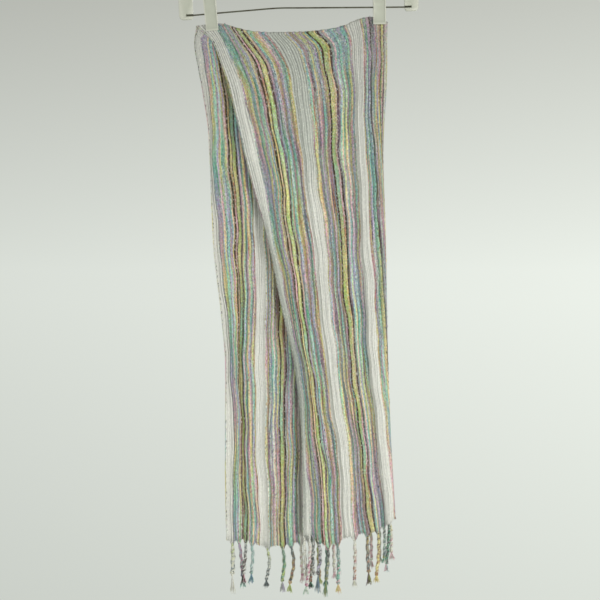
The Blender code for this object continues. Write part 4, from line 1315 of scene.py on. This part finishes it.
cordYarn = yarnMaterial("cordYarn", 0.9, depth=0.0004, speckle=0.75)
endYarn = yarnMaterial("endYarn", 0.9, speckle=0.25)
windPlies = twistTree("pliesRoundPaths", cordYarn)
single = {"Plies": 1, "Apart": 0.0}
cordParts, knotParts, endParts = fringePaths()
fringeCords = growStrands(
    "fringeCords", cordParts, windPlies, Plies=3, Pitch=fringe["pitch"] * mm, Apart=0.50, Ply=0.52,
    Step=0.0013, Sides=7, Lumps=fringe["lumps"], Mingled=1.0)
fringeKnots = growStrands(
    "fringeKnots", knotParts, windPlies, Ply=0.50, Step=0.0007, Sides=7, Lumps=fringe["lumps"], **single)
hemThreads = growStrands("hemThreads", threadPaths(), windPlies, Ply=0.9, Step=0.0016, Sides=4, **single)
cordFuzz = growStrands("cordFuzz", fuzzPaths(cordParts), windPlies, Ply=1.0, Step=0.0010, Sides=3, **single)
frayedEnds = growStrands(
    "frayedEnds", endParts, looseTree("looseEnds", endYarn), Strands=fringe["looseStrands"],
    Spread=fringe["looseSpread"] * mm, Thick=fringe["looseThick"] * mm)


# The hanger

hanger = {
    "tilt": 2.28,               # degrees, right end up
    "hookWire": 3.5,
    "hookRadius": 22.0,
    "hookTip": 195.0,           # degrees round the hook, at its tip and where it leaves for its neck
    "hookLeaves": -50.0,
    "hookPoints": 49,
    "neckPull": 13.0,           # how strongly hook and neck draw the bend between them
    "neckPoints": 17,
    "neckTop": -66.0,
    "neckEnd": -91.5,
    "barWire": 2.5,
    "barHeight": -195.3,
    "barReach": 180.0,
    "barPoints": 61,
    "springs": {"left": -140.8, "right": 129.0},
    "springWire": 0.8,
    "springTurns": 4.5,
    "springSteps": 14,          # points of one turn
    "springRadius": 2.25,
    "springHalf": 2.25,
    "springLeg": ((5.4, 10.4), (3.6, 5.0), (2.35, 1.0)),    # out from the bar and up
    "bevel": 0.35,
    "bevelFrom": 38.0,          # degrees between two faces
    "flatWithin": 4.0,
    "plastic": ((0.45, 0.46, 0.39, 1.0), (0.54, 0.54, 0.47, 1.0)),     # painted shade in hollow corners, and the plastic elsewhere
    # the same with grime: painted shade in hollow corners, and grimy plastic elsewhere
    "grimy": ((0.35, 0.36, 0.29, 1.0), (0.45, 0.45, 0.38, 1.0)),
    "steel": ((0.17, 0.17, 0.13, 1.0), (0.09, 0.075, 0.055, 1.0)),     # drawn and worn
}
barBow = readTable(
    "across rise",
    (-180, 0.0), (-141, 2.0), (-80, 4.8), (-30, 6.7), (2, 5.7), (116, 2.0), (180, 0.0),
)
hangerTurn = Matrix.Rotation(-math.radians(hanger["tilt"]), 4, "Y")


def barHeight(across):
    return hanger["barHeight"] + float(smoothThrough(barBow["across"], barBow["rise"], across))


def plasticMaterial():
    # moulded plastic with a faint orange peel, painted shade in its hollow corners and a little grime
    material, tree, shader = newMaterial("hangerPlastic")
    place = placeOn(tree)
    outsideHollowShade = attribute(tree, "outsideHollowShade", "Fac")
    clean, grimy = (blend(outsideHollowShade, *hanger[finish]) for finish in ("plastic", "grimy"))
    grime = spread(noise(place, 26.0, 4.0, 0.6), 0.45, 0.75, 0.0, 0.35)
    scuff = noise(place, 90.0, 5.0, 0.7)
    feed(shader, {
        "Base Color": blend(grime, clean, grimy), "Roughness": spread(scuff, 0.35, 0.7, 0.32, 0.5),
        "Normal": bump(noise(place, 420.0) + scuff, 0.00006, 0.6), "IOR": 1.49})
    return material


def steelMaterial():
    # drawn wire: fine lines along it, and a brown tint where it has worn
    material, tree, shader = newMaterial("hangerSteel")
    place = placeOn(tree)
    wear = spread(noise(place, 70.0, 4.0, 0.65), 0.42, 0.7)
    grain = noise(vectorCalc("MULTIPLY", place, (60.0, 1400.0, 1400.0)))
    feed(shader, {
        "Base Color": blend(wear, *hanger["steel"]), "Roughness": spread(grain, 0.3, 0.7, 0.28, 0.48),
        "Normal": bump(grain, 0.00003, 0.5), "Metallic": 1.0})
    return material


plastic = plasticMaterial()
steel = steelMaterial()


def softenedCopy(nodeName, name):
    # the CAD solid with its sharp edges rounded as a mould leaves them
    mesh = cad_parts[nodeName].data.copy()
    mesh.name = name
    mesh.materials.clear()
    mesh.materials.append(plastic)
    solid = bmesh.new()
    solid.from_mesh(mesh)
    bmesh.ops.remove_doubles(solid, verts=solid.verts, dist=1e-6)
    bmesh.ops.dissolve_limit(solid, angle_limit=math.radians(hanger["flatWithin"]), verts=solid.verts,
                             edges=solid.edges)
    # points on hollow edges get 0, for the painted shade of the corners, and all others 1
    outsideHollowShade = solid.verts.layers.float.new("outsideHollowShade")
    for vert in solid.verts:
        hollow = any(edge.is_manifold and edge.calc_face_angle_signed() < -0.3 for edge in vert.link_edges)
        vert[outsideHollowShade] = 0.0 if hollow else 1.0
    for face in solid.faces:
        face.smooth = True
    solid.to_mesh(mesh)
    solid.free()
    copy = addObject(name, mesh)
    rounding = copy.modifiers.new("rounding", "BEVEL")
    rounding.width = hanger["bevel"] * mm
    rounding.segments = 2
    rounding.limit_method = "ANGLE"
    rounding.angle_limit = math.radians(hanger["bevelFrom"])
    rounding.harden_normals = True
    return copy


def hookPoints():
    middle = hanger["hookRadius"] + 0.5 * hanger["hookWire"]
    start, end = math.radians(hanger["hookTip"]), math.radians(hanger["hookLeaves"])
    arc = [Vector((middle * math.cos(angle), 0.0, middle * math.sin(angle) - hanger["hookRadius"]))
           for angle in np.linspace(start, end, hanger["hookPoints"])]
    heading = Vector((math.sin(end), 0.0, -math.cos(end)))
    neck = Vector((0.0, 0.0, hanger["neckTop"]))
    up = Vector((0.0, 0.0, hanger["neckPull"]))
    bend = geometry.interpolate_bezier(arc[-1], arc[-1] + heading * hanger["neckPull"], neck + up, neck,
                                       hanger["neckPoints"])
    return arc + bend[1:] + [Vector((0.0, 0.0, hanger["neckEnd"]))]


def barPoints():
    reaches = np.linspace(-hanger["barReach"], hanger["barReach"], hanger["barPoints"])
    return [Vector((across, 0.0, barHeight(across))) for across in reaches]


def springPoints(across):
    # one turn of wire after another round the bar, with a leg up each handle
    slope = (barHeight(across + 1.0) - barHeight(across - 1.0)) / 2.0
    turned = Matrix.Rotation(-math.atan(slope), 4, "Y")
    place = Matrix.Translation((across, 0.0, barHeight(across))) @ turned
    radius, half = hanger["springRadius"], hanger["springHalf"]
    steps = hanger["springTurns"] * hanger["springSteps"]
    points = [Vector((-half, -away, up)) for away, up in hanger["springLeg"]]
    for step in range(int(steps) + 1):
        angle = math.pi + 2.0 * math.pi * step / hanger["springSteps"]
        along = mix(-half, half, step / steps)
        points.append(Vector((along, radius * math.cos(angle), radius * math.sin(angle))))
    points += [Vector((half, away, up)) for away, up in reversed(hanger["springLeg"])]
    return [place @ point for point in points]


drawWire = twistTree("wireAlongPaths", steel)


def growWire(name, points, thickness, step, sides=16):
    path = np.array([hangerTurn @ point for point in points]) * mm
    wire = [strand(path, 0.5 * thickness * mm)]
    return growStrands(name, wire, drawWire, Ply=1.0, Step=step, Sides=sides, **single)


hook = growWire("hangerHook", hookPoints(), hanger["hookWire"], 0.0018)
bar = growWire("hangerBar", barPoints(), hanger["barWire"], 0.004)
springs = {side: growWire(side + "ClipSpring", springPoints(across), hanger["springWire"], 0.0007, 8)
           for side, across in hanger["springs"].items()}
body = softenedCopy("hanger_body", "hangerBody")
jaws = {(side, face): softenedCopy(f"clip_{side}_{face}", f"{side}Clip{face.capitalize()}Jaw")
        for side in ("left", "right") for face in ("front", "back")}
print("hanger dressed")


# What each piece rides on, and the CAD parts that are hidden

clothPieces = [cloth, yarnKnops, lurexGlints, fringeCords, fringeKnots, cordFuzz, hemThreads, frayedEnds]
hangerPieces = [body, hook, bar, *springs.values(), *jaws.values()]
for piece in clothPieces + hangerPieces:
    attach(piece, "root")
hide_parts("front_fall", "back_fall")
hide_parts("front_fringe", "back_fringe")
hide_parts("hanger_body")
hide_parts("hanger_hook")
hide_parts("hanger_bar")
for side in ("left", "right"):
    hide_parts(f"clip_{side}_spring")
    for face in ("front", "back"):
        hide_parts(f"clip_{side}_{face}")


# Floor, light and camera

stage = {
    "floorHeight": -1.62,
    "floorRadius": 1.6,
    "floorColour": (0.66, 0.69, 0.65, 1.0),
    "air": (0.89, 0.91, 0.88),
    "airAbove": (0.74, 0.75, 0.72),
    "airBelow": (0.83, 0.85, 0.82),
    "airStrength": 1.0,
    "cameraAway": 2.4,
    "viewWidth": 0.960,             # where the scarf hangs
    "viewMiddle": (0.0096, -0.6567),
    "sensor": 36.0,
}
lamps = readTable(
    "name place target size power colour",
    ("keyLight", (1.3, -1.5, -0.9), (0.0, 0.0, -0.8), 0.8, 21.0, (1.0, 0.99, 0.97)),
    ("fillLight", (-2.2, -1.8, -0.2), (0.0, 0.0, -0.65), 1.6, 12.0, (0.96, 0.98, 1.0)),
    ("backLight", (0.6, 2.4, 0.4), (0.0, 0.0, -0.65), 1.6, 10.0, (1.0, 1.0, 1.0)),
)


def makeFloor():
    floorMesh = bpy.data.meshes.new("floor")
    disc = bmesh.new()
    bmesh.ops.create_circle(disc, cap_ends=True, segments=96, radius=stage["floorRadius"])
    bmesh.ops.translate(disc, vec=(0.0, 0.0, stage["floorHeight"]), verts=disc.verts)
    disc.to_mesh(floorMesh)
    disc.free()
    material, _, shader = newMaterial("paleFloor")
    feed(shader, {"Base Color": stage["floorColour"], "Roughness": 0.9})
    floorMesh.materials.append(material)
    addObject("floor", floorMesh)


def makeAir():
    # a pale room, a little darker above and below, and to the left
    world = bpy.data.worlds.new("softRoom")
    world.use_nodes = True
    tree = world.node_tree
    x, _, z = axesOf(placeOn(tree, "Generated"))
    air = blend(spread(z, 0.02, 0.20), displayed(stage["air"]), displayed(stage["airAbove"]))
    air = blend(spread(z, 0.0, -0.19), air, displayed(stage["airBelow"]))
    air = dimmed(air, spread(x, -0.20, 0.20, 0.90, 1.08))
    feed(tree.nodes["Background"], {"Color": air, "Strength": stage["airStrength"]})
    bpy.context.scene.world = world


def makeLamps():
    for name, place, target, size, power, colour in zip(*lamps.values()):
        light = bpy.data.lights.new(name, "AREA")
        light.shape = "DISK"
        light.size = size
        light.energy = power
        light.color = colour
        lamp = addObject(name, light)
        lamp.location = place
        lamp.rotation_euler = (Vector(target) - Vector(place)).to_track_quat("-Z", "Y").to_euler()


def makeCamera():
    # level with the middle of the scarf
    camera = bpy.data.cameras.new("camera")
    camera.sensor_width = stage["sensor"]
    camera.lens = stage["sensor"] * stage["cameraAway"] / stage["viewWidth"]
    holder = addObject("camera", camera)
    across, height = stage["viewMiddle"]
    holder.location = (across, -stage["cameraAway"], height)
    holder.rotation_euler = (math.radians(90), 0.0, 0.0)
    bpy.context.scene.camera = holder


makeFloor()
makeAir()
makeLamps()
makeCamera()
bpy.context.scene.view_settings.view_transform = "Standard"
print("stage set")
